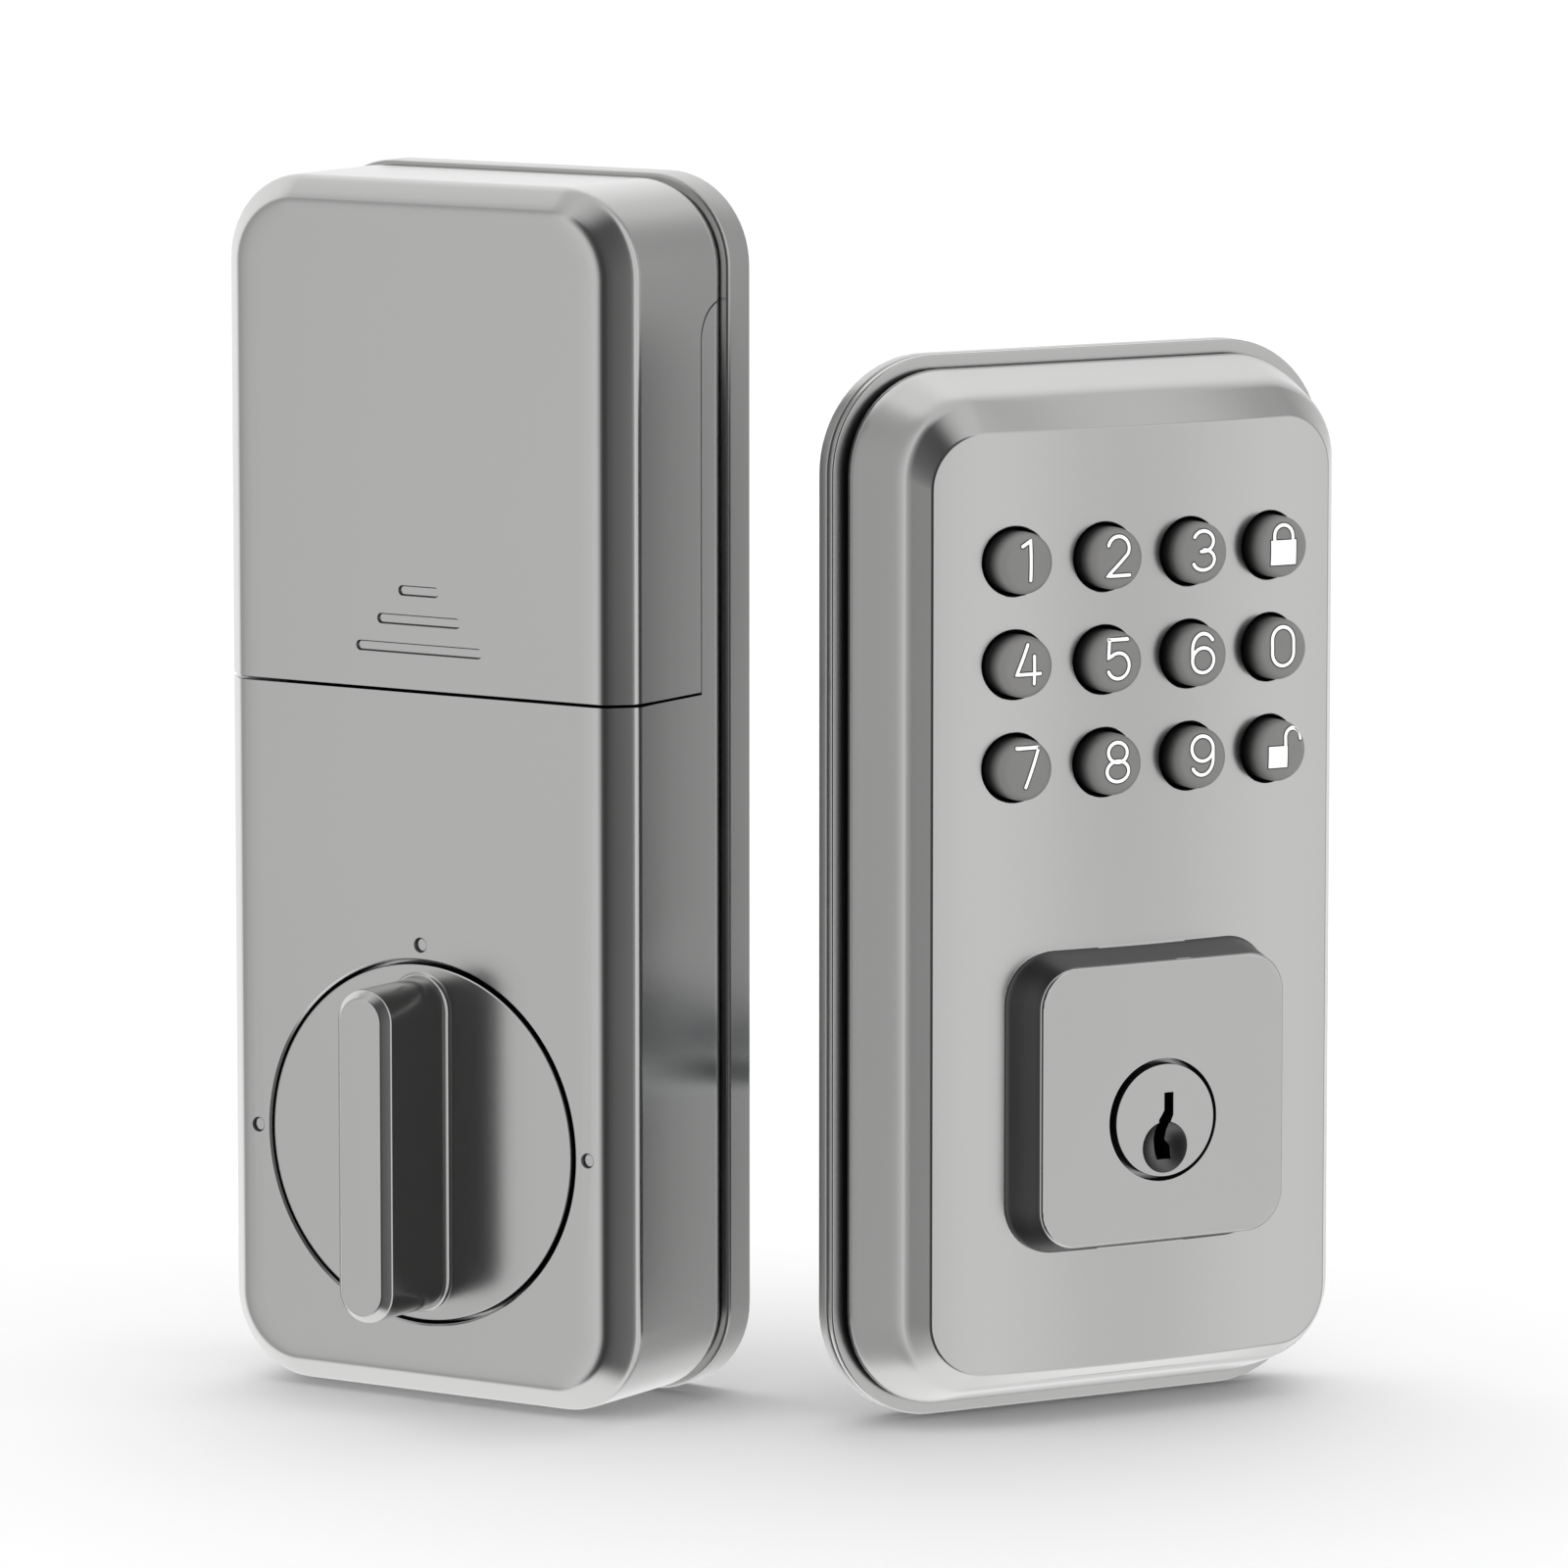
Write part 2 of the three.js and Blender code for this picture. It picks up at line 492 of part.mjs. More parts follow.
function buildMotorPinion() {
  const phase = motorAngle + Math.PI + Math.PI / TEETH.motor;
  const teeth = gear(motorX, motorZ, TEETH.motor, FINE_MODULE, GEAR_LAYERS[0], phase, ARBOR_BORE);
  return join(teeth, rod(motorX, motorZ, ARBOR.radius, GEAR_LAYERS[0], ARBOR.back, 8));
}

function buildGearPlate() {
  const { front, back, corner } = GEAR_PLATE;
  const lobes = GEAR_PLATE_LOBES.map(
    ({ width, height, x, z }) => slab(roundedRect(width, height, corner, x, z), front, back, 2),
  );
  const holes = gearAxleZ.map((z) => rod(0, z, GEAR_BORE, front - OVERCUT, back + OVERCUT, 10));
  const screws = GEAR_POST_PLACES.map(
    ([x, z]) => rod(x, z, GEAR_POST.boreRadius, front - OVERCUT, back + OVERCUT, 8),
  );
  return cut(join(...lobes), ...holes, ...screws);
}

function buildBatteryTray() {
  const { width, bottom, top, corner, front, back } = TRAY;
  const body = slab(roundedRect(width, top - bottom, corner, 0, (top + bottom) / 2), front, back);
  const end = CONTACT.x + CONTACT.thickness + GAP;
  const channels = BATTERY_Z.map((z) => crossRod(BATTERY_DEPTH, z, BATTERY.radius + GAP, -end, end));
  const { x, margin } = TRAY_POCKET;
  const pockets = SIDES.map((side) => block(
    ...span(side * x, side * end), front - OVERCUT, TRAY_POCKET.back, bottom + margin, top - margin,
  ));
  const hole = TRAY_SCREW_ACCESS;
  const access = SIDES.map(
    (side) => rod(side * HOUSING_SCREW.x, HOUSING_SCREW.z, hole.radius, hole.front, back + OVERCUT, 12),
  );
  return cut(body, ...channels, ...pockets, ...access);
}

// A cell whose raised end points to one side.
function buildBattery(z, side) {
  const { radius, length, nubRadius, nubLength, tip } = BATTERY;
  const can = crossRod(BATTERY_DEPTH, z, radius, ...span(side * (tip - nubLength), side * (tip - length)));
  const nub = crossRod(BATTERY_DEPTH, z, nubRadius, ...span(side * (tip - 2 * nubLength), side * tip), 10);
  return join(can, nub);
}

// A sheet contact at one end of the bay, with a flat cone of spring where a battery's flat end rests.
function buildContact(side, zLow, zHigh, springZ) {
  const { x, thickness, front, back, reach } = CONTACT;
  const strip = block(...span(side * x, side * (x + thickness)), front, back, zLow - reach, zHigh + reach);
  if (springZ === undefined) return strip;
  const ends = span(side * (x + SPRING.embed), side * (x - SPRING.reach));
  const { tipRadius, footRadius } = SPRING;
  const [left, right] = side > 0 ? [tipRadius, footRadius] : [footRadius, tipRadius];
  return join(strip, crossRod(BATTERY_DEPTH, springZ, left, ...ends, 12, right));
}

function buildMotor() {
  const { width, height, corner, front, back } = MOTOR;
  const can = slab(roundedRect(width, height, corner, motorX, motorZ), front, back, 3);
  return cut(can, rod(motorX, motorZ, MOTOR_BORE.radius, front - OVERCUT, MOTOR_BORE.back, 10));
}

function buildIndoorBoard() {
  const { width, height, corner, z, front, back } = INDOOR_BOARD;
  const sheet = slab(roundedRect(width, height, corner, 0, z), front, back, 2);
  const { halfWidth, top } = BOARD_NOTCH;
  return cut(sheet, block(-halfWidth, halfWidth, front - OVERCUT, back + OVERCUT, 0, top));
}

add(indoor, "indoor_housing", buildIndoorHousing(), "satin_nickel");
add(indoor, "battery_cover", buildBatteryCover(), "satin_nickel");
add(indoor, "indoor_back_plate", buildBackPlate(), "satin_nickel");
add(indoor, "thumb_turn", buildThumbTurn(), "satin_nickel");

add(indoor, "drive_gear", buildDriveGear(up), "steel");
add(indoor, "retaining_clip", buildClip(), "steel");
add(indoor, "reduction_gear_2", buildReductionGear(lastWheelZ, 1, COARSE_MODULE, up), "white_plastic");
add(indoor, "reduction_gear_1", buildReductionGear(firstWheelZ, 0, FINE_MODULE, motorAngle), "white_plastic");
add(indoor, "motor_pinion", buildMotorPinion(), "brass");
add(indoor, "motor", buildMotor(), "steel");
gearAxleZ.forEach((z, i) => {
  add(indoor, `gear_axle_${2 - i}`, rod(0, z, AXLE.radius, AXLE.front, AXLE.back, 10), "steel");
});
add(indoor, "gear_plate", buildGearPlate(), "black_plastic");
GEAR_POST_PLACES.forEach((place, i) => {
  add(indoor, `gear_plate_screw_${i + 1}`, screw(place, GEAR_SCREW), "steel");
});

add(indoor, "battery_tray", buildBatteryTray(), "black_plastic");
BATTERY_Z.forEach((z, i) => {
  add(indoor, `battery_${4 - i}`, buildBattery(z, i % 2 ? 1 : -1), "battery");
});
const CONTACTS = [ // name, side, lowest and highest battery reached, battery that the spring presses
  ["contact_positive", 1, 3, 3, undefined],
  ["contact_link_upper", -1, 2, 3, 3],
  ["contact_link_middle", 1, 1, 2, 2],
  ["contact_link_lower", -1, 0, 1, 1],
  ["contact_negative", 1, 0, 0, 0],
];
for (const [name, side, low, high, springAt] of CONTACTS) {
  const contact = buildContact(side, BATTERY_Z[low], BATTERY_Z[high], BATTERY_Z[springAt]);
  add(indoor, name, contact, "steel");
}
SIDES.forEach((side, i) => {
  const fastener = screw([side * HOUSING_SCREW.x, HOUSING_SCREW.z], HOUSING_SCREW);
  add(indoor, `housing_screw_${i + 1}`, fastener, "steel");
});
add(indoor, "indoor_circuit_board", buildIndoorBoard(), "board");
add(indoor, "indoor_cable_socket", cableSocket(INDOOR_SOCKET), "white_plastic");

// ---------- outdoor unit ----------
const crownAt = (x) => CROWN.rise * (x / (FACE.width / 2)) ** 2;
const faceHeight = OUTDOOR.height - FACE.bottomInset - FACE.topInset;
const faceZ = OUTDOOR.lift + FACE.bottomInset + faceHeight / 2;
const outdoorMiddleZ = OUTDOOR.lift + OUTDOOR.height / 2;

function outdoorStation(y, inset) {
  return {
    y, w: OUTDOOR.width - 2 * inset, h: OUTDOOR.height - 2 * inset, r: OUTDOOR.corner - inset,
    z: outdoorMiddleZ,
  };
}

// The curved front of the face: an arc in plan, carried up the face and trimmed to its outline.
function buildFaceCrown() {
  const half = FACE.width / 2 + CROWN.overhang;
  const outline = [];
  for (let step = 0; step <= CROWN.steps; step += 1) {
    const x = half * ((2 * step) / CROWN.steps - 1);
    outline.push(new THREE.Vector2(x, crownAt(x)));
  }
  outline.push(new THREE.Vector2(half, CROWN.back), new THREE.Vector2(-half, CROWN.back));
  const geometry = new THREE.ExtrudeGeometry(new THREE.Shape(outline), {
    depth: OUTDOOR.height, bevelEnabled: false,
  });
  geometry.translate(0, 0, OUTDOOR.lift);
  const trim = slab(roundedRect(FACE.width, faceHeight, FACE.corner, 0, faceZ), -OVERCUT, CROWN.trimBack);
  return solidOf(geometry).intersect(trim);
}

function keyCentres() {
  const centres = [];
  KEY_NAMES.forEach((row, rowIndex) => row.forEach((name, column) => {
    const x = KEY_FIELD_X + (column - 1.5) * KEY_PITCH.across;
    centres.push({ name, x, z: KEY_ROW_Z + (1 - rowIndex) * KEY_PITCH.up });
  }));
  return centres;
}

// The pear outline of a key cylinder, grown by a clearance.
function cylinderPear(grow, front, back) {
  const half = CYLINDER.chamberWidth / 2 + grow;
  return join(
    rod(0, CYLINDER_Z, CYLINDER.radius + grow, front, back, 20),
    block(-half, half, front, back, CYLINDER_Z, CYLINDER_Z + CYLINDER.chamberHeight + grow),
  );
}

function buildBoss() {
  const { size, corner, front, edge, z } = BOSS;
  const flared = size + 2 * BOSS_FLARE.size;
  const flaredCorner = corner + BOSS_FLARE.size;
  return loft([
    { y: front, w: size - 2 * edge, h: size - 2 * edge, r: corner - edge, z },
    { y: front + edge, w: size, h: size, r: corner, z },
    { y: BOSS_FLARE.front, w: size, h: size, r: corner, z },
    { y: BOSS_FLARE.back, w: flared, h: flared, r: flaredCorner, z },
    { y: BOSS_FLARE.root, w: flared, h: flared, r: flaredCorner, z },
  ]);
}

function buildOutdoorHousing() {
  const { wallEnd } = OUTDOOR;
  const body = loft([
    { y: CROWN.rise, w: FACE.width, h: faceHeight, r: FACE.corner, z: faceZ },
    outdoorStation(SHOULDER.depth, SHOULDER.inset),
    outdoorStation(wallEnd - OUTDOOR_CURL.depth, 0),
    outdoorStation(wallEnd, OUTDOOR_CURL.inset),
  ]);
  const hollow = loft([
    { ...CAVITY_FLOOR, z: faceZ },
    { ...CAVITY_MOUTH, y: wallEnd + OVERCUT, z: outdoorMiddleZ },
  ]);
  const shell = cut(body.add(buildFaceCrown()), hollow);
  const pillars = SIDES.map(
    (side) => rod(side * POST.x, CYLINDER_Z, PILLAR.radius, PILLAR.front, PILLAR.back, 10),
  );
  const screwBosses = FLANGE_SCREW_PLACES.map(
    ([x, z]) => rod(x, z, FLANGE_BOSS.radius, FLANGE_BOSS.front, FLANGE_BOSS.back, 8),
  );
  const solid = join(shell, buildBoss(), ...pillars, ...screwBosses);
  const keyHoles = keyCentres().map((key) => rod(key.x, key.z, KEY.holeRadius, -OVERCUT, KEY.holeBack, 12));
  const cylinderRoom = cylinderPear(GAP, CYLINDER.front - GAP, wallEnd);
  const ring = rod(0, CYLINDER_Z, PLUG.ringRadius, BOSS.front - OVERCUT, 0, 24);
  const postHoles = SIDES.map(
    (side) => rod(side * POST.x, CYLINDER_Z, POST.radius + GAP, POST.front - GAP, wallEnd, 10),
  );
  const screwHoles = FLANGE_SCREW_PLACES.map(
    ([x, z]) => rod(x, z, FLANGE_SCREW_HOLE.radius, FLANGE_SCREW_HOLE.front, wallEnd, 6),
  );
  return cut(solid, ...keyHoles, cylinderRoom, ring, ...postHoles, ...screwHoles);
}

function buildKey(x, z) {
  const { radius, proud, edge, collarRadius } = KEY;
  const front = crownAt(x) - proud;
  return turned(x, z, [
    [0, front], [radius - edge, front], [radius, front + edge], [radius, COLLAR.front],
    [collarRadius, COLLAR.front], [collarRadius, COLLAR.back],
    [DOME.recessRadius, COLLAR.back], [DOME.recessRadius, DOME.recessDepth], [0, DOME.recessDepth],
  ], 12);
}

function buildMembrane() {
  const { width, height, corner, front, back } = MEMBRANE;
  const sheet = slab(roundedRect(width, height, corner, 0, KEY_ROW_Z), front, back, 2);
  const domes = keyCentres().map((key) => rod(key.x, key.z, DOME.radius, DOME.tip, front + EMBED, 6));
  return join(sheet, ...domes);
}

function buildKeypadBoard() {
  const { width, bottom, top, corner, front, back } = KEYPAD_BOARD;
  return slab(roundedRect(width, top - bottom, corner, 0, (top + bottom) / 2), front, back, 2);
}

function buildPlug() {
  const { radius, faceRadius, lipBack, back } = PLUG;
  const lip = rod(0, CYLINDER_Z, faceRadius, BOSS.front, lipBack, 24);
  const barrel = rod(0, CYLINDER_Z, radius, lipBack - OVERCUT, back, 16);
  const half = KEYWAY.width / 2;
  const keyway = block(
    -half, half, BOSS.front - OVERCUT, KEYWAY.depth, CYLINDER_Z + KEYWAY.bottom, CYLINDER_Z + KEYWAY.top,
  );
  return cut(join(lip, barrel), keyway);
}

function buildCylinderBody() {
  const { front, back } = CYLINDER;
  const bore = rod(0, CYLINDER_Z, PLUG.radius + GAP, front - OVERCUT, back + OVERCUT, 16);
  return cut(cylinderPear(0, front, back), bore);
}

function flangePlate(inset, front, back) {
  const { width, height, corner } = FLANGE;
  const outline = roundedRect(width - 2 * inset, height - 2 * inset, corner - inset, 0, height / 2);
  const posts = SIDES.map(
    (side) => rod(side * POST.x, CYLINDER_Z, POST.radius + GAP, front - OVERCUT, back + OVERCUT, 10),
  );
  const slot = FLANGE_CABLE_SLOT;
  const cableSlot = slab(
    roundedRect(slot.width, slot.height, slot.corner, 0, slot.z), front - OVERCUT, back + OVERCUT, 2,
  );
  const pear = cylinderPear(2 * GAP, front - OVERCUT, back + OVERCUT);
  return cut(slab(outline, front, back), pear, cableSlot, ...posts);
}

function flangeScrewHoles(front, back) {
  return FLANGE_SCREW_PLACES.map(([x, z]) => rod(x, z, FLANGE_SCREW_HOLE.radius, front - OVERCUT, back, 6));
}

function buildTrimPlate() {
  const { front, back } = TRIM_PLATE;
  return cut(flangePlate(0, front, back), ...flangeScrewHoles(front, back + OVERCUT));
}

function buildBasePlate() {
  const { front, back } = BASE_PLATE;
  const { sinkRadius, sinkFront } = FLANGE_SCREW_HOLE;
  const sinks = FLANGE_SCREW_PLACES.map(([x, z]) => rod(x, z, sinkRadius, sinkFront, back + OVERCUT, 8));
  return cut(flangePlate(0, front, back), ...flangeScrewHoles(front, back), ...sinks);
}

function buildTailpiece() {
  const { width, height, headRadius, headBack, end } = TAIL;
  const head = rod(0, CYLINDER_Z, headRadius, TAIL_CAP.front, headBack, 16);
  const bar = block(
    -width / 2, width / 2, headBack - EMBED, end, CYLINDER_Z - height / 2, CYLINDER_Z + height / 2,
  );
  return join(head, bar);
}

function buildTailpieceCap() {
  const { radius, front, floor, back } = TAIL_CAP;
  const cup = cut(
    rod(0, CYLINDER_Z, radius, front, back, 16),
    rod(0, CYLINDER_Z, TAIL.headRadius + GAP, front - OVERCUT, floor, 16),
  );
  const slotX = TAIL.width / 2 + GAP;
  const slotZ = TAIL.height / 2 + GAP;
  return cut(cup, block(-slotX, slotX, front, back + OVERCUT, CYLINDER_Z - slotZ, CYLINDER_Z + slotZ));
}

function buildPost(side) {
  const { x, radius, front, back, boreRadius, boreDepth } = POST;
  return cut(
    rod(side * x, CYLINDER_Z, radius, front, back, 12),
    rod(side * x, CYLINDER_Z, boreRadius, back - boreDepth, back + OVERCUT, 8),
  );
}

add(outdoor, "outdoor_housing", buildOutdoorHousing(), "satin_nickel");
for (const key of keyCentres()) {
  add(outdoor, key.name, buildKey(key.x, key.z), "key_rubber");
}
add(outdoor, "keypad_membrane", buildMembrane(), "silicone");
add(outdoor, "keypad_circuit_board", buildKeypadBoard(), "board");
add(outdoor, "outdoor_cable_socket", cableSocket(OUTDOOR_SOCKET), "white_plastic");
add(outdoor, "cylinder_body", buildCylinderBody(), "steel");
add(outdoor, "key_plug", buildPlug(), "satin_nickel");
add(outdoor, "tailpiece", buildTailpiece(), "steel");
add(outdoor, "tailpiece_cap", buildTailpieceCap(), "steel");
add(outdoor, "outdoor_trim_plate", buildTrimPlate(), "satin_nickel");
add(outdoor, "outdoor_base_plate", buildBasePlate(), "zinc");
add(outdoor, "outdoor_gasket", flangePlate(GASKET.inset, GASKET.front, GASKET.back), "foam");
add(outdoor, "threaded_post_left", buildPost(-1), "steel");
add(outdoor, "threaded_post_right", buildPost(1), "steel");
FLANGE_SCREW_PLACES.forEach((place, i) => {
  add(outdoor, `flange_screw_${i + 1}`, screw(place, FLANGE_SCREW), "steel");
});

// ---------- assembly ----------
function place(group, { x, y, yawDeg }) {
  group.position.set(x, y, 0);
  group.rotation.z = THREE.MathUtils.degToRad(yawDeg);
}
place(indoor, INDOOR_PLACE);
place(outdoor, OUTDOOR_PLACE);

const smartLock = new THREE.Group();
smartLock.add(indoor, outdoor);
export default smartLock;
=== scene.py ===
"""Looks of the keypad smart lock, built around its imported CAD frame.

Each unit is drawn in its own frame in millimetres, x to its right, y from its front into its
depth and z up, and is carried to the row frame through the pivot on its front face.
"""
import bmesh
import bpy
import json
import math
from mathutils import Matrix, Vector
from mathutils.geometry import delaunay_2d_cdt


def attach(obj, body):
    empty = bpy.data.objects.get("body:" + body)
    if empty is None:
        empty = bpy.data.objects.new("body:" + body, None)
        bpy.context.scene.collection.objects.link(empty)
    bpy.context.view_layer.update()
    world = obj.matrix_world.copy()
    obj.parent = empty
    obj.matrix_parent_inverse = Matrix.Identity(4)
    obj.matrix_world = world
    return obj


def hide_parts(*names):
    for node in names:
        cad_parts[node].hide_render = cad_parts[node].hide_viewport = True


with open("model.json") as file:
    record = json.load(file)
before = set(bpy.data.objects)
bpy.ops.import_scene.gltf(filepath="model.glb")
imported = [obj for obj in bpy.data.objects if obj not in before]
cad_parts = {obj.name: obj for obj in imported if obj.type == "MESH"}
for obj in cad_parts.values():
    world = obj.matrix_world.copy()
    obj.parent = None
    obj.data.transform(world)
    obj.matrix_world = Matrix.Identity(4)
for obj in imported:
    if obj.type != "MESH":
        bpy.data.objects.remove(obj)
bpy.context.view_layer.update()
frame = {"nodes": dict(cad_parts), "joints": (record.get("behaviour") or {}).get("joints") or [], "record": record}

# ---------- driving dimensions, millimetres in each unit's own frame ----------
MM = 0.001
INDOOR = {"width": 60, "height": 150, "depth": 22.1, "corner": 10.8, "wall": 1.8, "lift": 0.5}
SEAM_Z = 88
SEAM_GAP = 0.35
COVER_SIDE_DEPTH = 17.05
COVER_SHOULDER_Z = 131.3
SHOULDER_ROUND = 4.75
GAP = 0.3
SIDE_GAP = 0.16
ARROW_BARS = [(18.4, 93.4), (12.1, 96.9), (5.8, 100.5)]
SPINDLE_Z = 32.4
DISC_RADIUS = 22.15
DISC_HOLE_RADIUS = 22.6
DIMPLE_RING = 24.5
GRIP = {"width": 7.9, "length": 41.2, "front": -13.0}
BACK_PLATE = {"width": 61, "height": 151, "corner": 11.3, "rim": 2, "front": 22.5, "back": 27.5}
SHELF = (84.2, 86)
HOUSING_SCREW = (18, 141.5)
BATTERY_Z = [94.55, 109.15, 123.75, 138.35]
BATTERY_DEPTH = 9.35
CONTACT_X = 26.1

OUTDOOR = {"width": 66.4, "height": 127.2, "corner": 12.5, "lift": 1.5, "depth": 14.8}
OUTDOOR_SAG = 2.6
FACE_BOTTOM_INSET, FACE_TOP_INSET = 5.5, 6.7
FACE_HEIGHT = OUTDOOR["height"] - FACE_BOTTOM_INSET - FACE_TOP_INSET
FACE_Z = OUTDOOR["lift"] + FACE_BOTTOM_INSET + FACE_HEIGHT / 2
FACE = {"width": 56.2, "height": FACE_HEIGHT, "corner": 6.8}
FACE_HALF = FACE["width"] / 2
FLANGE = {"width": 69.4, "height": 130.2, "corner": 14}
KEY_ROWS = [
    ["key_1", "key_2", "key_3", "key_lock"],
    ["key_4", "key_5", "key_6", "key_0"],
    ["key_7", "key_8", "key_9", "key_unlock"],
]
KEY_PITCH_ACROSS = 12
KEY_PITCH_UP = 12.5
KEY_FIELD_X = 0.6
KEY_ROW_Z = 93.8
KEY_RADIUS = 3.85
KEY_HOLE_RADIUS = 4.2
KEY_PROUD = 3.3
LIP = 0.16
KEY_DOME = 0.3
KEY_EDGE = 1.15
SIGN_WIDTH, SIGN_HEIGHT = 3.3, 4.75
SIGN_RAISE = 0.4
STROKE = {"white": 0.205, "dark": 0.345, "white_lift": 0.03, "dark_lift": 0.016}
BOSS = {"width": 34.4, "height": 34.4, "corner": 5, "front": -5.2, "z": 40.2}
CYLINDER_Z = 37.85
PLUG_BACK = 24.5
PLUG_PROUD = 0.45
PLUG_RIM_RADIUS = 6.9
PLUG_HOLE_RADIUS = 7.5
SCOOP = {"radius": 3.2, "depth": 1.5, "drop": 3.3}
POST_X = 19.5
TRIM, BASE, GASKET = (15.1, 16.1), (16.4, 18.5), (18.8, 19.8)
FLANGE_SCREWS = [(-23.5, 14), (23.5, 14), (-23.5, 116), (23.5, 116)]


def unit_matrix(joint_name):
    """Millimetres in a unit's own frame to metres in the row frame, from the pivot on its face."""
    joint = next(j for j in frame["joints"] if j["name"] == joint_name)
    depth = -Vector(joint["axis"]).normalized()
    up = Vector((0, 0, 1))
    right = depth.cross(up)
    origin = Vector((joint["pos_m"][0], joint["pos_m"][1], 0))
    matrix = Matrix((right, depth, up)).transposed().to_4x4()
    matrix.translation = origin
    return matrix @ Matrix.Scale(MM, 4)


IN = unit_matrix("thumb_turn_pivot")
OUT = unit_matrix("key_plug_turn")


# ---------- materials ----------
def node_material(name, color, roughness, metallic=0.0):
    """A Principled material, with what its texture nodes need: (material, nodes, links, shader)."""
    material = bpy.data.materials.new(name)
    material.use_nodes = True
    nodes, links = material.node_tree.nodes, material.node_tree.links
    shader = nodes["Principled BSDF"]
    shader.inputs["Base Color"].default_value = (*color, 1)
    shader.inputs["Roughness"].default_value = roughness
    shader.inputs["Metallic"].default_value = metallic
    return material, nodes, links, shader


def noise(nodes, links, scale, stretch=(1, 1, 1), detail=3.0):
    """Noise over the object, with a scale in cycles per metre."""
    coordinates = nodes.new("ShaderNodeTexCoord")
    mapping = nodes.new("ShaderNodeMapping")
    mapping.inputs["Scale"].default_value = stretch
    texture = nodes.new("ShaderNodeTexNoise")
    texture.inputs["Scale"].default_value = scale
    texture.inputs["Detail"].default_value = detail
    links.new(coordinates.outputs["Object"], mapping.inputs["Vector"])
    links.new(mapping.outputs["Vector"], texture.inputs["Vector"])
    return texture.outputs["Fac"]


def spread(nodes, links, value, low, high):
    """Maps a noise value to a range, for roughness."""
    remap = nodes.new("ShaderNodeMapRange")
    remap.inputs["From Min"].default_value = 0.3
    remap.inputs["From Max"].default_value = 0.7
    remap.inputs["To Min"].default_value = low
    remap.inputs["To Max"].default_value = high
    links.new(value, remap.inputs["Value"])
    return remap.outputs["Result"]


def tint(nodes, links, value, first, second):
    """A colour that wanders between two near ones."""
    ramp = nodes.new("ShaderNodeValToRGB")
    ramp.color_ramp.elements[0].position = 0.35
    ramp.color_ramp.elements[0].color = (*first, 1)
    ramp.color_ramp.elements[1].position = 0.65
    ramp.color_ramp.elements[1].color = (*second, 1)
    links.new(value, ramp.inputs["Fac"])
    return ramp.outputs["Color"]


def relief(nodes, links, shader, value, strength, height):
    bump = nodes.new("ShaderNodeBump")
    bump.inputs["Strength"].default_value = strength
    bump.inputs["Distance"].default_value = height
    links.new(value, bump.inputs["Height"])
    links.new(bump.outputs["Normal"], shader.inputs["Normal"])


def surface(name, color, roughness, metallic=0.0, grain=2500, stretch=(1, 1, 1), bump=0.1,
            height=0.00002, vary=0.06, blotch=35, rough_vary=0.05):
    """A material with grain in its bump, patches in its roughness and a slight wander in its colour."""
    material, nodes, links, shader = node_material(name, color, roughness, metallic)
    fine = noise(nodes, links, grain, stretch)
    patches = noise(nodes, links, blotch, detail=2.0)
    darker = tuple(c * (1 - vary) for c in color)
    lighter = tuple(min(1.0, c * (1 + vary)) for c in color)
    links.new(tint(nodes, links, patches, darker, lighter), shader.inputs["Base Color"])
    low, high = roughness - rough_vary, roughness + rough_vary
    links.new(spread(nodes, links, patches, low, high), shader.inputs["Roughness"])
    relief(nodes, links, shader, fine, bump, height)
    return material


def math_node(nodes, links, operation, *inputs):
    node = nodes.new("ShaderNodeMath")
    node.operation = operation
    for socket, value in zip(node.inputs, inputs):
        if isinstance(value, (int, float)):
            socket.default_value = value
        else:
            links.new(value, socket)
    return node.outputs["Value"]


def key_rubber(name, color, shaded):
    """Soft grey with painted shade: it darkens along a cap's side towards its hole in the arched face."""
    material = surface(name, color, 0.5, grain=3500, bump=0.12, vary=0.03)
    nodes, links = material.node_tree.nodes, material.node_tree.links
    shader = nodes["Principled BSDF"]
    coordinates = nodes.new("ShaderNodeTexCoord")
    local = OUT.inverted()
    rows = []
    for row in (local[0], local[1]):
        dot = nodes.new("ShaderNodeVectorMath")
        dot.operation = "DOT_PRODUCT"
        dot.inputs[1].default_value = row[:3]
        links.new(coordinates.outputs["Object"], dot.inputs[0])
        rows.append(math_node(nodes, links, "ADD", dot.outputs["Value"], row[3]))
    squared = math_node(nodes, links, "MULTIPLY", rows[0], rows[0])
    arch = math_node(nodes, links, "MULTIPLY", squared, OUTDOOR_SAG / FACE_HALF ** 2)
    behind = math_node(nodes, links, "SUBTRACT", rows[1], arch)
    # Painted shade: the cap's colour darkens the deeper its side lies behind the arched face.
    fade = nodes.new("ShaderNodeMapRange")
    fade.interpolation_type = "SMOOTHSTEP"
    fade.inputs["From Min"].default_value = -KEY_PROUD + 0.15
    fade.inputs["From Max"].default_value = -0.5
    links.new(behind, fade.inputs["Value"])
    plain = shader.inputs["Base Color"].links[0].from_socket
    shade = nodes.new("ShaderNodeMix")
    shade.data_type = "RGBA"
    shade.inputs["B"].default_value = (*shaded, 1)
    links.new(fade.outputs["Result"], shade.inputs["Factor"])
    links.new(plain, shade.inputs["A"])
    links.new(shade.outputs["Result"], shader.inputs["Base Color"])
    return material


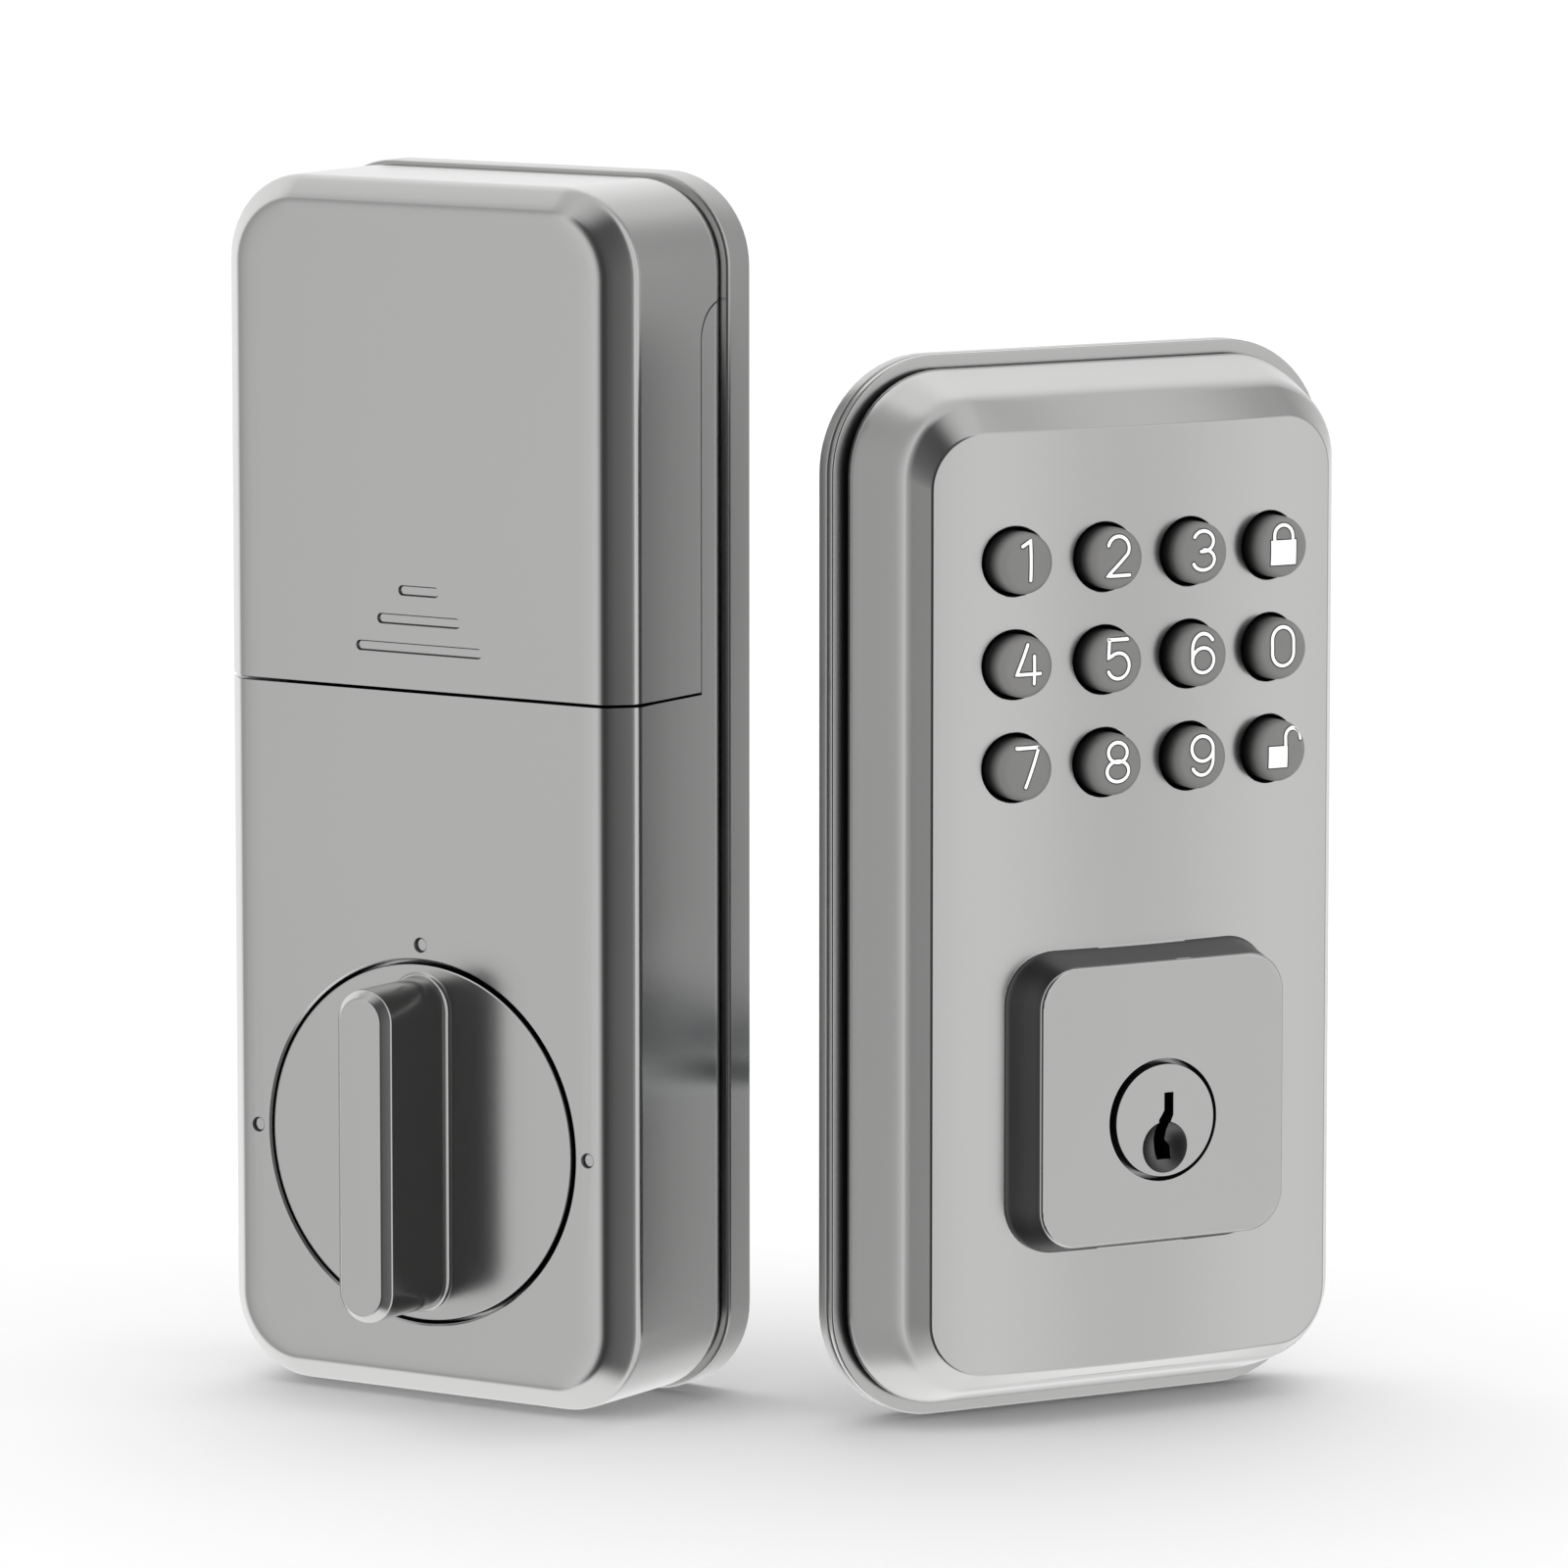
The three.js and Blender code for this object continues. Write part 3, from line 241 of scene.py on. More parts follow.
NICKEL_COLOR = (0.60, 0.60, 0.595)
MATERIALS = {
    "satin_nickel": surface("satin_nickel", NICKEL_COLOR, 0.22, 1.0, grain=1400, stretch=(1, 1, 0.35),
                            bump=0.06, height=0.00001, vary=0.012, blotch=18, rough_vary=0.015),
    "plate_zinc": surface("plate_zinc", (0.56, 0.56, 0.555), 0.31, 1.0, grain=1800, bump=0.08,
                          height=0.00001, vary=0.02),
    "steel": surface("steel", (0.55, 0.56, 0.57), 0.3, 1.0, grain=1500, stretch=(1, 1, 6), vary=0.04),
    "brass": surface("brass", (0.72, 0.55, 0.27), 0.3, 1.0, grain=1500, stretch=(5, 1, 1), vary=0.05),
    # The key caps' grey carries painted shade, darkening along their sides towards the face.
    "key_grey": key_rubber("key_grey", (0.25, 0.248, 0.243), (0.012, 0.012, 0.012)),
    "black_plastic": surface("black_plastic", (0.02, 0.02, 0.022), 0.5, grain=2500, bump=0.3, vary=0.1),
    "white_plastic": surface("white_plastic", (0.74, 0.72, 0.66), 0.42, grain=1800, bump=0.1, vary=0.02),
    "silicone": surface("silicone", (0.075, 0.075, 0.08), 0.6, grain=2000, bump=0.15),
    "foam": surface("foam", (0.022, 0.022, 0.023), 0.9, grain=1400, bump=0.8, height=0.0002, vary=0.25),
    "circuit_board": surface("circuit_board", (0.015, 0.12, 0.05), 0.35, grain=900, bump=0.2, vary=0.2),
    "battery_jacket": surface("battery_jacket", (0.035, 0.036, 0.04), 0.25, 0.2, grain=300, bump=0.03),
}
BATTERY_BAND = surface("battery_band", (0.70, 0.42, 0.18), 0.3, 0.8, grain=700, bump=0.05, vary=0.05)
# Darker nickel that paints shade on the walls of pits and marks, the sides of the raised square and the plug's
# scoop.
SHADE_NICKEL = surface("painted_shade_nickel", (0.16, 0.16, 0.16), 0.4, 1.0, grain=1500, bump=0.1, vary=0.03)
SHADOW = surface("gap_shadow", (0.006, 0.006, 0.006), 0.8, grain=1500, bump=0.1)
GLOWING_WHITE_INK = surface("white_ink_painted_glow", (0.93, 0.93, 0.93), 0.45, grain=4000, bump=0.05, vary=0.01)
# The white ink also glows a little: painted light that keeps the signs white.
GLOWING_WHITE_INK.node_tree.nodes["Principled BSDF"].inputs["Emission Color"].default_value = (1, 1, 1, 1)
GLOWING_WHITE_INK.node_tree.nodes["Principled BSDF"].inputs["Emission Strength"].default_value = 0.3
INK_DARK = surface("ink_dark", (0.02, 0.02, 0.02), 0.5, grain=4000, bump=0.05, vary=0.1)


# ---------- mesh building ----------
def mesh_object(name, vertices, faces, matrix):
    mesh = bpy.data.meshes.new(name)
    mesh.from_pydata([matrix @ Vector(v) for v in vertices], [], faces)
    mesh.validate()
    mesh.update()
    obj = bpy.data.objects.new(name, mesh)
    bpy.context.scene.collection.objects.link(obj)
    return obj


def outward(obj):
    """Turns a closed skin's faces outwards."""
    sheet = bmesh.new()
    sheet.from_mesh(obj.data)
    bmesh.ops.recalc_face_normals(sheet, faces=sheet.faces)
    sheet.to_mesh(obj.data)
    sheet.free()
    return obj


def arc_points(cx, cz, rx, rz, start, end, steps=14):
    span = end - start
    angles = [math.radians(start + span * step / steps) for step in range(steps + 1)]
    return [(cx + rx * math.cos(a), cz + rz * math.sin(a)) for a in angles]


def rounded_outline(width, height, radius, x=0.0, z=0.0, arc=12, across=1, along=1):
    """Points of a rounded rectangle, anticlockwise seen from the front; across and along divide its sides."""
    points = []
    corners = [(1, -1, -90, along), (1, 1, 0, across), (-1, 1, 90, along), (-1, -1, 180, across)]
    arcs = []
    for sx, sz, start, _ in corners:
        cx, cz = x + sx * (width / 2 - radius), z + sz * (height / 2 - radius)
        arcs.append(arc_points(cx, cz, radius, radius, start, start + 90, arc))
    for i, (_, _, _, pieces) in enumerate(corners):
        points += arcs[i]
        (x0, z0), (x1, z1) = arcs[i][-1], arcs[(i + 1) % 4][0]
        for step in range(1, pieces):
            points.append((x0 + (x1 - x0) * step / pieces, z0 + (z1 - z0) * step / pieces))
    return points


def inset_outline(box, inset, middle, **divided):
    """The outline of a box given by its width, height and corner, moved inwards by inset."""
    width, height = box["width"] - 2 * inset, box["height"] - 2 * inset
    return rounded_outline(width, height, box["corner"] - inset, 0, middle, **divided)


def circle(radius, x=0.0, z=0.0, segments=64):
    turn = 2 * math.pi / segments
    return [(x + radius * math.cos(i * turn), z + radius * math.sin(i * turn)) for i in range(segments)]


def skin(name, rings, matrix):
    """A closed skin through rings of equally many points, capped at both ends."""
    count = len(rings[0])
    vertices = [point for ring in rings for point in ring]
    faces = []
    for ring in range(len(rings) - 1):
        a, b = ring * count, (ring + 1) * count
        for i in range(count):
            j = (i + 1) % count
            faces.append((a + i, b + i, b + j, a + j))
    faces.append(tuple(range(count)))
    faces.append(tuple(reversed(range(len(vertices) - count, len(vertices)))))
    return outward(mesh_object(name, vertices, faces, matrix))


def ring_at(outline, y):
    return [(x, y, z) for x, z in outline]


def slab(name, outline, front, back, matrix, edge=0.0):
    """An outline given thickness, with its two rims rounded off by edge."""
    if not edge:
        return skin(name, [ring_at(outline, front), ring_at(outline, back)], matrix)
    rings = []
    for step in range(4):
        angle = math.radians(90 * step / 3)
        inset, y = edge * (1 - math.sin(angle)), edge * (1 - math.cos(angle))
        rings.append(ring_at(shrink(outline, inset), front + y))
    for step in range(4):
        angle = math.radians(90 * step / 3)
        inset, y = edge * (1 - math.cos(angle)), edge * (1 - math.sin(angle))
        rings.append(ring_at(shrink(outline, inset), back - y))
    return skin(name, rings, matrix)


def side_box(side, inner, outer, z, reach):
    """The outline of a box on one side of the middle line, reaching up and down from z."""
    low, high = z - reach, z + reach
    return [(side * inner, low), (side * outer, low), (side * outer, high), (side * inner, high)]


def shrink(outline, inset):
    """Moves each point of a closed outline inwards, along the mean normal of its neighbours."""
    count = len(outline)
    moved = []
    for i, (x, z) in enumerate(outline):
        (x0, z0), (x1, z1) = outline[i - 1], outline[(i + 1) % count]
        if (x1 - x, z1 - z) == (0, 0):
            x1, z1 = outline[(i + 2) % count]
        dx, dz = x1 - x0, z1 - z0
        length = math.hypot(dx, dz) or 1
        moved.append((x - inset * dz / length, z + inset * dx / length))
    return moved


def turned(name, profile, x, z, matrix, segments=64):
    """A lathe shape about an axis along the depth: profile points are (radius, depth)."""
    rings = [ring_at(circle(max(radius, 0.001), x, z, segments), y) for radius, y in profile]
    return skin(name, rings, matrix)


def cross_turned(name, profile, y, z, matrix):
    """A lathe shape about an axis across the unit: profile points are (radius, x)."""
    rings = []
    for radius, x in profile:
        ring = circle(max(radius, 0.001), y, z, 48)
        rings.append([(x, py, pz) for py, pz in ring])
    return skin(name, rings, matrix)


def bake(obj):
    """Applies an object's modifiers to its mesh."""
    graph = bpy.context.evaluated_depsgraph_get()
    mesh = bpy.data.meshes.new_from_object(obj.evaluated_get(graph))
    old = obj.data
    obj.modifiers.clear()
    obj.data = mesh
    bpy.data.meshes.remove(old)


def combine(obj, tool, operation="DIFFERENCE"):
    modifier = obj.modifiers.new("combine", "BOOLEAN")
    modifier.operation = operation
    modifier.solver = "EXACT"
    modifier.object = tool
    bake(obj)
    bpy.data.objects.remove(tool)
    return obj


def cut(obj, *tools):
    for tool in tools:
        combine(obj, tool)
    return obj


def join(obj, *others):
    for other in others:
        combine(obj, other, "UNION")
    return obj


def round_where(obj, matrix, test, width):
    """Rounds the sharp edges whose two ends both pass a test in the unit's own millimetres."""
    inverse = matrix.inverted()
    inside = [test(inverse @ vertex.co) for vertex in obj.data.vertices]
    sheet = bmesh.new()
    sheet.from_mesh(obj.data)
    sharp = [
        edge for edge in sheet.edges
        if len(edge.link_faces) == 2 and edge.calc_face_angle() > math.radians(40)
        and all(inside[vertex.index] for vertex in edge.verts)
    ]
    bmesh.ops.bevel(
        sheet, geom=sharp, offset=width * MM, offset_type="OFFSET", segments=2, profile=0.5,
        affect="EDGES", clamp_overlap=False,
    )
    sheet.to_mesh(obj.data)
    sheet.free()


def weigh_normals(obj):
    """Smooth shading that keeps flat faces flat and creases sharp."""
    obj.data.shade_smooth()
    obj.data.set_sharp_from_angle(angle=math.radians(38))
    weighted = obj.modifiers.new("normals", "WEIGHTED_NORMAL")
    weighted.keep_sharp = True


def set_crown_normals(obj, matrix, half, sag):
    """Gives the arched face the true normals of its arc, however it is divided around its holes."""
    bake(obj)
    inverse, turn = matrix.inverted(), matrix.to_3x3().normalized()
    mesh = obj.data
    places = [inverse @ vertex.co for vertex in mesh.vertices]
    normals = [Vector(corner.vector) for corner in mesh.corner_normals]
    for face in mesh.polygons:
        spots = [places[index] for index in face.vertices]
        if any(abs(spot.y - crown_depth(spot.x, half, sag)) > 0.02 for spot in spots):
            continue
        if (turn.inverted() @ face.normal).y > -0.9:
            continue
        for loop, spot in zip(face.loop_indices, spots):
            slope = 2 * sag * spot.x / half ** 2
            normals[loop] = (turn @ Vector((slope, -1, 0))).normalized()
    mesh.normals_split_custom_set([tuple(normal) for normal in normals])


def darken_where(obj, matrix, test, material):
    """Gives another material, a dark one that paints shade, to the faces whose middles pass a test in the unit's
    own millimetres.
    """
    inverse = matrix.inverted()
    obj.data.materials.append(material)
    index = len(obj.data.materials) - 1
    for face in obj.data.polygons:
        if test(inverse @ face.center):
            face.material_index = index


def finish(obj, material, body, nodes=()):
    """Shades the piece, gives it its material and ties it to the frame."""
    weigh_normals(obj)
    obj.data.materials.clear()
    obj.data.materials.append(MATERIALS[material])
    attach(obj, body)
    if nodes:
        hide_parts(*nodes)
    return obj


# ---------- shapes that both units share ----------
def crown_depth(x, half_width, sag):
    return sag * (x / half_width) ** 2


class Shell:
    """A closed skin sewn from lofts and pierced plates that share their rims."""

    def __init__(self):
        self.vertices, self.faces, self.known = [], [], {}

    def point(self, spot):
        key = tuple(round(value, 4) for value in spot)
        if key not in self.known:
            self.known[key] = len(self.vertices)
            self.vertices.append(spot)
        return self.known[key]

    def loft(self, rings):
        """Joins rings of equally many points, one after another."""
        rows = [[self.point(spot) for spot in ring] for ring in rings]
        for near, far in zip(rows, rows[1:]):
            for i in range(len(near)):
                j = (i + 1) % len(near)
                corners = list(dict.fromkeys((near[i], far[i], far[j], near[j])))
                if len(corners) > 2:
                    self.faces.append(tuple(corners))

    def plate(self, outer, holes, depth_at, step=0.0):
        """Fills an outline round its holes, at a depth given by x, with inner points every step."""
        points, edges = [], []
        for loop in [outer] + holes:
            first = len(points)
            points += [Vector(spot) for spot in loop]
            edges += [(first + i, first + (i + 1) % len(loop)) for i in range(len(loop))]
        if step:
            xs, zs = [x for x, _ in outer], [z for _, z in outer]
            columns, rows = int((max(xs) - min(xs)) / step), int((max(zs) - min(zs)) / step)
            for column in range(1, columns):
                for row in range(1, rows):
                    spot = (min(xs) + column * step, min(zs) + row * step)
                    if self.clear(spot, outer, holes, step * 0.4):
                        points.append(Vector(spot))
        flat, _, triangles, _, _, _ = delaunay_2d_cdt(points, edges, [], 0, 1e-5)
        for triangle in triangles:
            corners = [flat[index] for index in triangle]
            middle = sum(corners, Vector((0, 0))) / 3
            if self.within(middle, outer) and not any(self.within(middle, hole) for hole in holes):
                self.faces.append(tuple(self.point((c.x, depth_at(c.x), c.y)) for c in corners))

    def clear(self, spot, outer, holes, margin):
        inside = self.within(Vector(spot), outer) and not any(self.within(Vector(spot), h) for h in holes)
        return inside and all(math.dist(spot, rim) > margin for loop in [outer] + holes for rim in loop)

    @staticmethod
    def within(spot, loop):
        """True if a point lies inside a closed outline."""
        inside = False
        for (x0, z0), (x1, z1) in zip(loop, loop[1:] + loop[:1]):
            if (z0 > spot.y) != (z1 > spot.y) and spot.x < x0 + (spot.y - z0) * (x1 - x0) / (z1 - z0):
                inside = not inside
        return inside

    def build(self, name, matrix):
        return outward(mesh_object(name, self.vertices, self.faces, matrix))


def hole(x, z, radius, front, back, matrix, segments=64):
    """A drill for a straight hole."""
    return turned("drill", [(radius, front), (radius, back)], x, z, matrix, segments)


# ---------- indoor unit ----------
INDOOR_MIDDLE = INDOOR["lift"] + INDOOR["height"] / 2


def indoor_shell(name):
    profile = [(0.0, 6.4), (0.015, 5.0), (0.05, 4.1), (0.11, 3.55), (0.2, 3.2), (0.34, 2.92), (0.55, 2.64),
               (1.1, 2.06), (1.8, 1.34), (2.5, 0.64), (2.75, 0.40), (2.95, 0.23), (3.18, 0.10), (3.5, 0.02),
               (4.0, 0.0), (20.0, 0.0), (20.8, 0.08), (21.5, 0.32), (INDOOR["depth"], 0.8)]
    outlines = [(inset_outline(INDOOR, inset, INDOOR_MIDDLE, arc=14), y) for y, inset in profile]
    return skin(name, [ring_at(outline, y) for outline, y in outlines], IN)


def cover_zone(name, bottom, side_depth, shoulder):
    """The space of the battery cover: an outline in depth and height, right across the unit."""
    outline = [(-30, bottom), (side_depth, bottom), (side_depth, shoulder)]
    for step in range(1, 13):
        angle = math.radians(180 - 90 * step / 12)
        y = side_depth + SHOULDER_ROUND + SHOULDER_ROUND * math.cos(angle)
        outline.append((y, shoulder + SHOULDER_ROUND * math.sin(angle)))
    outline += [(60, shoulder + SHOULDER_ROUND), (60, 200), (-30, 200)]
    rings = [[(x, y, z) for y, z in outline] for x in (-45, 45)]
    return skin(name, rings, IN)


def indoor_cavity(name, front, back, low=None, high=None):
    tool = slab(name, inset_outline(INDOOR, INDOOR["wall"], INDOOR_MIDDLE), front, back, IN)
    if low is not None:
        band = slab(name + "_band", [(-40, low), (40, low), (40, high), (-40, high)], -5, 60, IN)
        combine(tool, band, "INTERSECT")
    return tool


def make_indoor_housing():
    body = indoor_shell("housing_shell")
    cut(body, cover_zone("cover_room", SEAM_Z, COVER_SIDE_DEPTH + SIDE_GAP, COVER_SHOULDER_Z - SIDE_GAP))
    cut(body, indoor_cavity("lower_room", 2.2, 30, -5, SHELF[0]))
    cut(body, indoor_cavity("upper_room", 2.2, 30, SHELF[1], 200))
    seat = turned("seat", [(24.5, 1.2), (24.5, 4.4)], 0, SPINDLE_Z, IN)
    ears = slab("ears", rounded_outline(48, 17, 2, 0, 138), 19.3, 22.1, IN)
    ledge = slab("ledge", [(-28.5, 130), (28.5, 130), (28.5, 134.5), (-28.5, 134.5)], 19.35, 22.05, IN)
    join(body, seat, ears, ledge)
    disc_room = turned("disc_room", [(DISC_HOLE_RADIUS + 0.25, -3), (DISC_HOLE_RADIUS + 0.25, 0.0),
                                     (DISC_HOLE_RADIUS, 0.25), (DISC_HOLE_RADIUS, 2.9)],
                       0, SPINDLE_Z, IN, 128)
    cut(body, disc_room, hole(0, SPINDLE_Z, 5.4, 1, 6, IN))
    for quarter in range(3):
        angle = math.radians(90 * quarter)
        x, z = DIMPLE_RING * math.cos(angle), SPINDLE_Z + DIMPLE_RING * math.sin(angle)
        pit = turned("pit", [(0.95, -3), (0.95, 0), (0.8, 0.15), (0.72, 0.45)], x, z, IN, 24)
        cut(body, pit)
    for side in (-1, 1):
        cut(body, hole(side * HOUSING_SCREW[0], HOUSING_SCREW[1], 1.8, 18, 24, IN, segments=24))
    round_where(body, IN, lambda p: abs(p.z - SEAM_Z) < 0.02 and p.y < 17, 0.12)
    finish(body, "satin_nickel", "lock", ["indoor_housing"])

    def in_disc_gap(p):
        reach = math.hypot(p.x, p.z - SPINDLE_Z)
        return 21.5 < reach < DISC_HOLE_RADIUS + 0.1 and 0.35 < p.y < 3

    def in_dimple(p):
        reach = math.hypot(p.x, p.z - SPINDLE_Z)
        return abs(reach - DIMPLE_RING) < 1 and 0.02 < p.y < 0.44

    darken_where(body, IN, in_disc_gap, SHADOW)
    # The dimples' walls get darker nickel: painted shade.
    darken_where(body, IN, in_dimple, SHADE_NICKEL)


def make_battery_cover():
    body = indoor_shell("cover_shell")
    zone = cover_zone("cover_zone", SEAM_Z + SEAM_GAP, COVER_SIDE_DEPTH, COVER_SHOULDER_Z)
    combine(body, zone, "INTERSECT")
    cut(body, indoor_cavity("cover_room", INDOOR["wall"], 30))
    for width, z in ARROW_BARS:
        rings = [ring_at(rounded_outline(width + 2 * out, 1.1 + 2 * out, 0.54 + out, 0, z, 6), y)
                 for y, out in ((-3, 0.1), (0, 0.1), (0.35, -0.08))]
        cut(body, skin("mark", rings, IN))
    round_where(body, IN, lambda p: abs(p.z - SEAM_Z - SEAM_GAP) < 0.02 and p.y < 17, 0.12)
    finish(body, "satin_nickel", "cover", ["battery_cover"])

    def in_mark_wall(p):
        return 0.02 < p.y < 0.34 and any(abs(p.x) < w / 2 + 0.2 and abs(p.z - z) < 0.8 for w, z in ARROW_BARS)

    # The walls of the arrow marks get darker nickel: painted shade that outlines them.
    darken_where(body, IN, in_mark_wall, SHADE_NICKEL)


def make_back_plate():
    front, middle = BACK_PLATE["front"], BACK_PLATE["height"] / 2
    outer = inset_outline(BACK_PLATE, 0, middle, arc=16)
    plate = slab("plate_body", outer, front, BACK_PLATE["back"], IN, edge=0.45)
    cut(plate, slab("dish", inset_outline(BACK_PLATE, BACK_PLATE["rim"], middle), front - 1.5, 25.2, IN))
    posts = [turned("post", [(3.2, front), (3.2, 26)], s * HOUSING_SCREW[0], HOUSING_SCREW[1], IN, 32)
             for s in (-1, 1)]
    join(plate, *posts)
    for side in (-1, 1):
        cut(plate, hole(side * HOUSING_SCREW[0], HOUSING_SCREW[1], 1.8, 21, 26.9, IN, segments=24))
        cut(plate, hole(side * POST_X, SPINDLE_Z, 2.75, 21, 30, IN, segments=32))
    cut(plate, hole(0, SPINDLE_Z, 9, 21, 30, IN))
    cut(plate, slab("cable_slot", rounded_outline(22, 12, 3, 0, 62, 8), 21, 30, IN))
    finish(plate, "plate_zinc", "lock", ["indoor_back_plate"])


def make_thumb_turn():
    r = DISC_RADIUS
    disc = turned("disc", [(r - 0.3, 0.0), (r - 0.09, 0.08), (r, 0.3), (r, 2.6)], 0, SPINDLE_Z, IN, 128)
    front = GRIP["front"]
    rings = []
    profile = [(front, 1.12), (front + 0.03, 1.0), (front + 0.12, 0.88), (front + 0.88, 0.12),
               (front + 1.0, 0.03), (front + 1.15, 0.0), (-0.9, 0.0), (-0.5, -0.06), (-0.22, -0.2),
               (-0.06, -0.42), (0.0, -0.65), (0.6, -0.7)]
    for y, inset in profile:
        w, h = GRIP["width"] - 2 * inset, GRIP["length"] - 2 * inset
        rings.append(ring_at(rounded_outline(w, h, w / 2 - 0.02, 0, SPINDLE_Z, 12), y))
    grip = skin("grip", rings, IN)
    shaft = turned("shaft", [(5, 2), (5, 15.1), (4.2, 15.1), (4.2, 16.5), (5, 16.5), (5, 18.1), (4.6, 18.5)],
                   0, SPINDLE_Z, IN)
    turn = join(disc, grip, shaft)
    for side in (-1, 1):
        cut(turn, slab("flat", side_box(side, 4, 9, SPINDLE_Z, 8), 11.1, 20, IN))
    cut(turn, slab("tail_slot", rounded_outline(2.6, 8.2, 0.3, 0, SPINDLE_Z, 3), 8, 20, IN))
    finish(turn, "satin_nickel", "thumb_turn", ["thumb_turn"])


def make_battery(number, z, side):
    name = f"battery_{number}"
    r = 7.25
    tip, foot = side * 25.7, side * (25.7 - 50.5)
    profile = [(4.6, foot), (5.4, foot + side * 0.15), (6.9, foot + side * 0.1), (r, foot + side * 0.5),
               (r, tip - side * 1.7), (6.8, tip - side * 1.25), (4.2, tip - side * 1.2),
               (3.1, tip - side * 1.2), (2.75, tip - side * 1.0), (2.75, tip - side * 0.3),
               (2.4, tip), (0.6, tip)]
    cell = cross_turned(name + "_cell", profile, BATTERY_DEPTH, z, IN)
    finish(cell, "battery_jacket", "lock", [name])
    cell.data.materials.append(BATTERY_BAND)
    cell.data.materials.append(MATERIALS["steel"])
    band_start = tip - side * 15
    inverse = IN.inverted()
    for face in cell.data.polygons:
        x = (inverse @ face.center).x
        if (x - band_start) * side > 0:
            face.material_index = 1
        if (x - (tip - side * 1.5)) * side > 0 or (x - (foot + side * 0.45)) * side < 0:
            face.material_index = 2


def coil(name, x_wide, x_tip, y, z, r_wide, r_tip, wire, turns, matrix):
    """A conical spring of round wire about an axis across the unit."""
    steps, sides = turns * 20, 8
    rings = []
    for step in range(steps + 1):
        t = step / steps
        angle = 2 * math.pi * turns * t
        radius = r_wide + (r_tip - r_wide) * t
        x = x_wide + (x_tip - x_wide) * t
        centre = Vector((x, y + radius * math.cos(angle), z + radius * math.sin(angle)))
        out = Vector((0, math.cos(angle), math.sin(angle)))
        across = Vector((1, 0, 0))
        ring = []
        for k in range(sides):
            phi = 2 * math.pi * k / sides
            ring.append(tuple(centre + wire * (math.cos(phi) * out + math.sin(phi) * across)))
        rings.append(ring)
    return skin(name, rings, matrix)


def make_contacts():
    ends = [("contact_positive", 1, 3, 3, None), ("contact_link_upper", -1, 2, 3, 3),
            ("contact_link_middle", 1, 1, 2, 2), ("contact_link_lower", -1, 0, 1, 1),
            ("contact_negative", 1, 0, 0, 0)]
    for name, side, low, high, spring in ends:
        z0, z1 = BATTERY_Z[low] - 4.6, BATTERY_Z[high] + 4.6
        a, b = side * CONTACT_X, side * (CONTACT_X + 0.4)
        outline = rounded_outline(7.7, z1 - z0, 1.2, 9.4, (z0 + z1) / 2, 5)
        strip = skin(name + "_strip", [[(x, y, z) for y, z in outline] for x in (a, b)], IN)
        finish(strip, "steel", "lock", [name])
        if spring is not None:
            wound = coil(name + "_coil", side * (CONTACT_X - 0.1), side * (CONTACT_X - 0.95), BATTERY_DEPTH,
                         BATTERY_Z[spring], 3.4, 1.6, 0.22, 3, IN)
            finish(wound, "steel", "lock")


# ---------- outdoor unit ----------
OUTDOOR_MIDDLE = OUTDOOR["lift"] + OUTDOOR["height"] / 2
OUTSIDE_DIVISION = {"arc": 14, "across": 22, "along": 6}


def key_places():
    places = []
    for row, names in enumerate(KEY_ROWS):
        for column, name in enumerate(names):
            x = KEY_FIELD_X + (column - 1.5) * KEY_PITCH_ACROSS
            places.append((name, x, KEY_ROW_Z + (1 - row) * KEY_PITCH_UP))
    return places


def pear_outline(grow):
    """The outline of a key cylinder with its pin chamber above."""
    r, half, top = 9 + grow, 5 + grow, CYLINDER_Z + 16 + grow
    start = math.degrees(math.acos(half / r))
    points = arc_points(0, CYLINDER_Z, r, r, 180 - start, 360 + start, 40)
    return points + [(half, top - 1.2), (half - 1.2, top), (1.2 - half, top), (-half, top - 1.2)]


def on_cylinder(name, profile, segments):
    """A lathe shape about the key cylinder's axis."""
    return turned(name, profile, 0, CYLINDER_Z, OUT, segments)


def pear(name, grow, front, back):
    return slab(name, pear_outline(grow), front, back, OUT)


def outdoor_crown(x):
    return crown_depth(x, FACE_HALF, OUTDOOR_SAG)


def outdoor_rings():
    """The outside of the housing from the rim of its face to its back edge, as rings."""
    divided = OUTSIDE_DIVISION
    rings = []
    for inset, back in [(0.32, 0.0), (0.14, 0.05), (0.0, 0.19)]:
        outline = inset_outline(FACE, inset, FACE_Z, **divided)
        rings.append([(x, outdoor_crown(x) + back, z) for x, z in outline])
    profile = [(4.7, 3.62), (5.2, 3.2), (5.8, 2.84), (6.6, 2.5), (7.6, 2.15), (11.0, 0.98), (12.2, 0.58),
               (13.0, 0.28), (13.6, 0.14), (14.1, 0.16), (14.5, 0.38), (OUTDOOR["depth"], 0.9)]
    return rings + [ring_at(inset_outline(OUTDOOR, inset, OUTDOOR_MIDDLE, **divided), y)
                    for y, inset in profile]


def boss_rings():
    """The raised square round the key plug: from its foot on the arched face up to the rim of its front."""
    front = BOSS["front"]
    rings = []
    foot = [(1.5, 0.0, 1.0), (1.34, 0.04, 0.98), (1.2, 0.15, 0.92), (1.05, 0.5, 0.75), (0.8, 1.4, 0.4),
            (0.45, 2.7, 0.1), (0.15, 3.8, 0.0)]
    top = [(0.0, front + 0.6), (0.05, front + 0.3), (0.18, front + 0.09), (0.4, front)]
    divided = {"arc": 14, "across": 12, "along": 12}
    for out, rise, share in foot:
        outline = inset_outline(BOSS, -out, BOSS["z"], **divided)
        rings.append([(x, outdoor_crown(x) * share - rise, z) for x, z in outline])
    return rings + [ring_at(inset_outline(BOSS, inset, BOSS["z"], **divided), y) for inset, y in top]


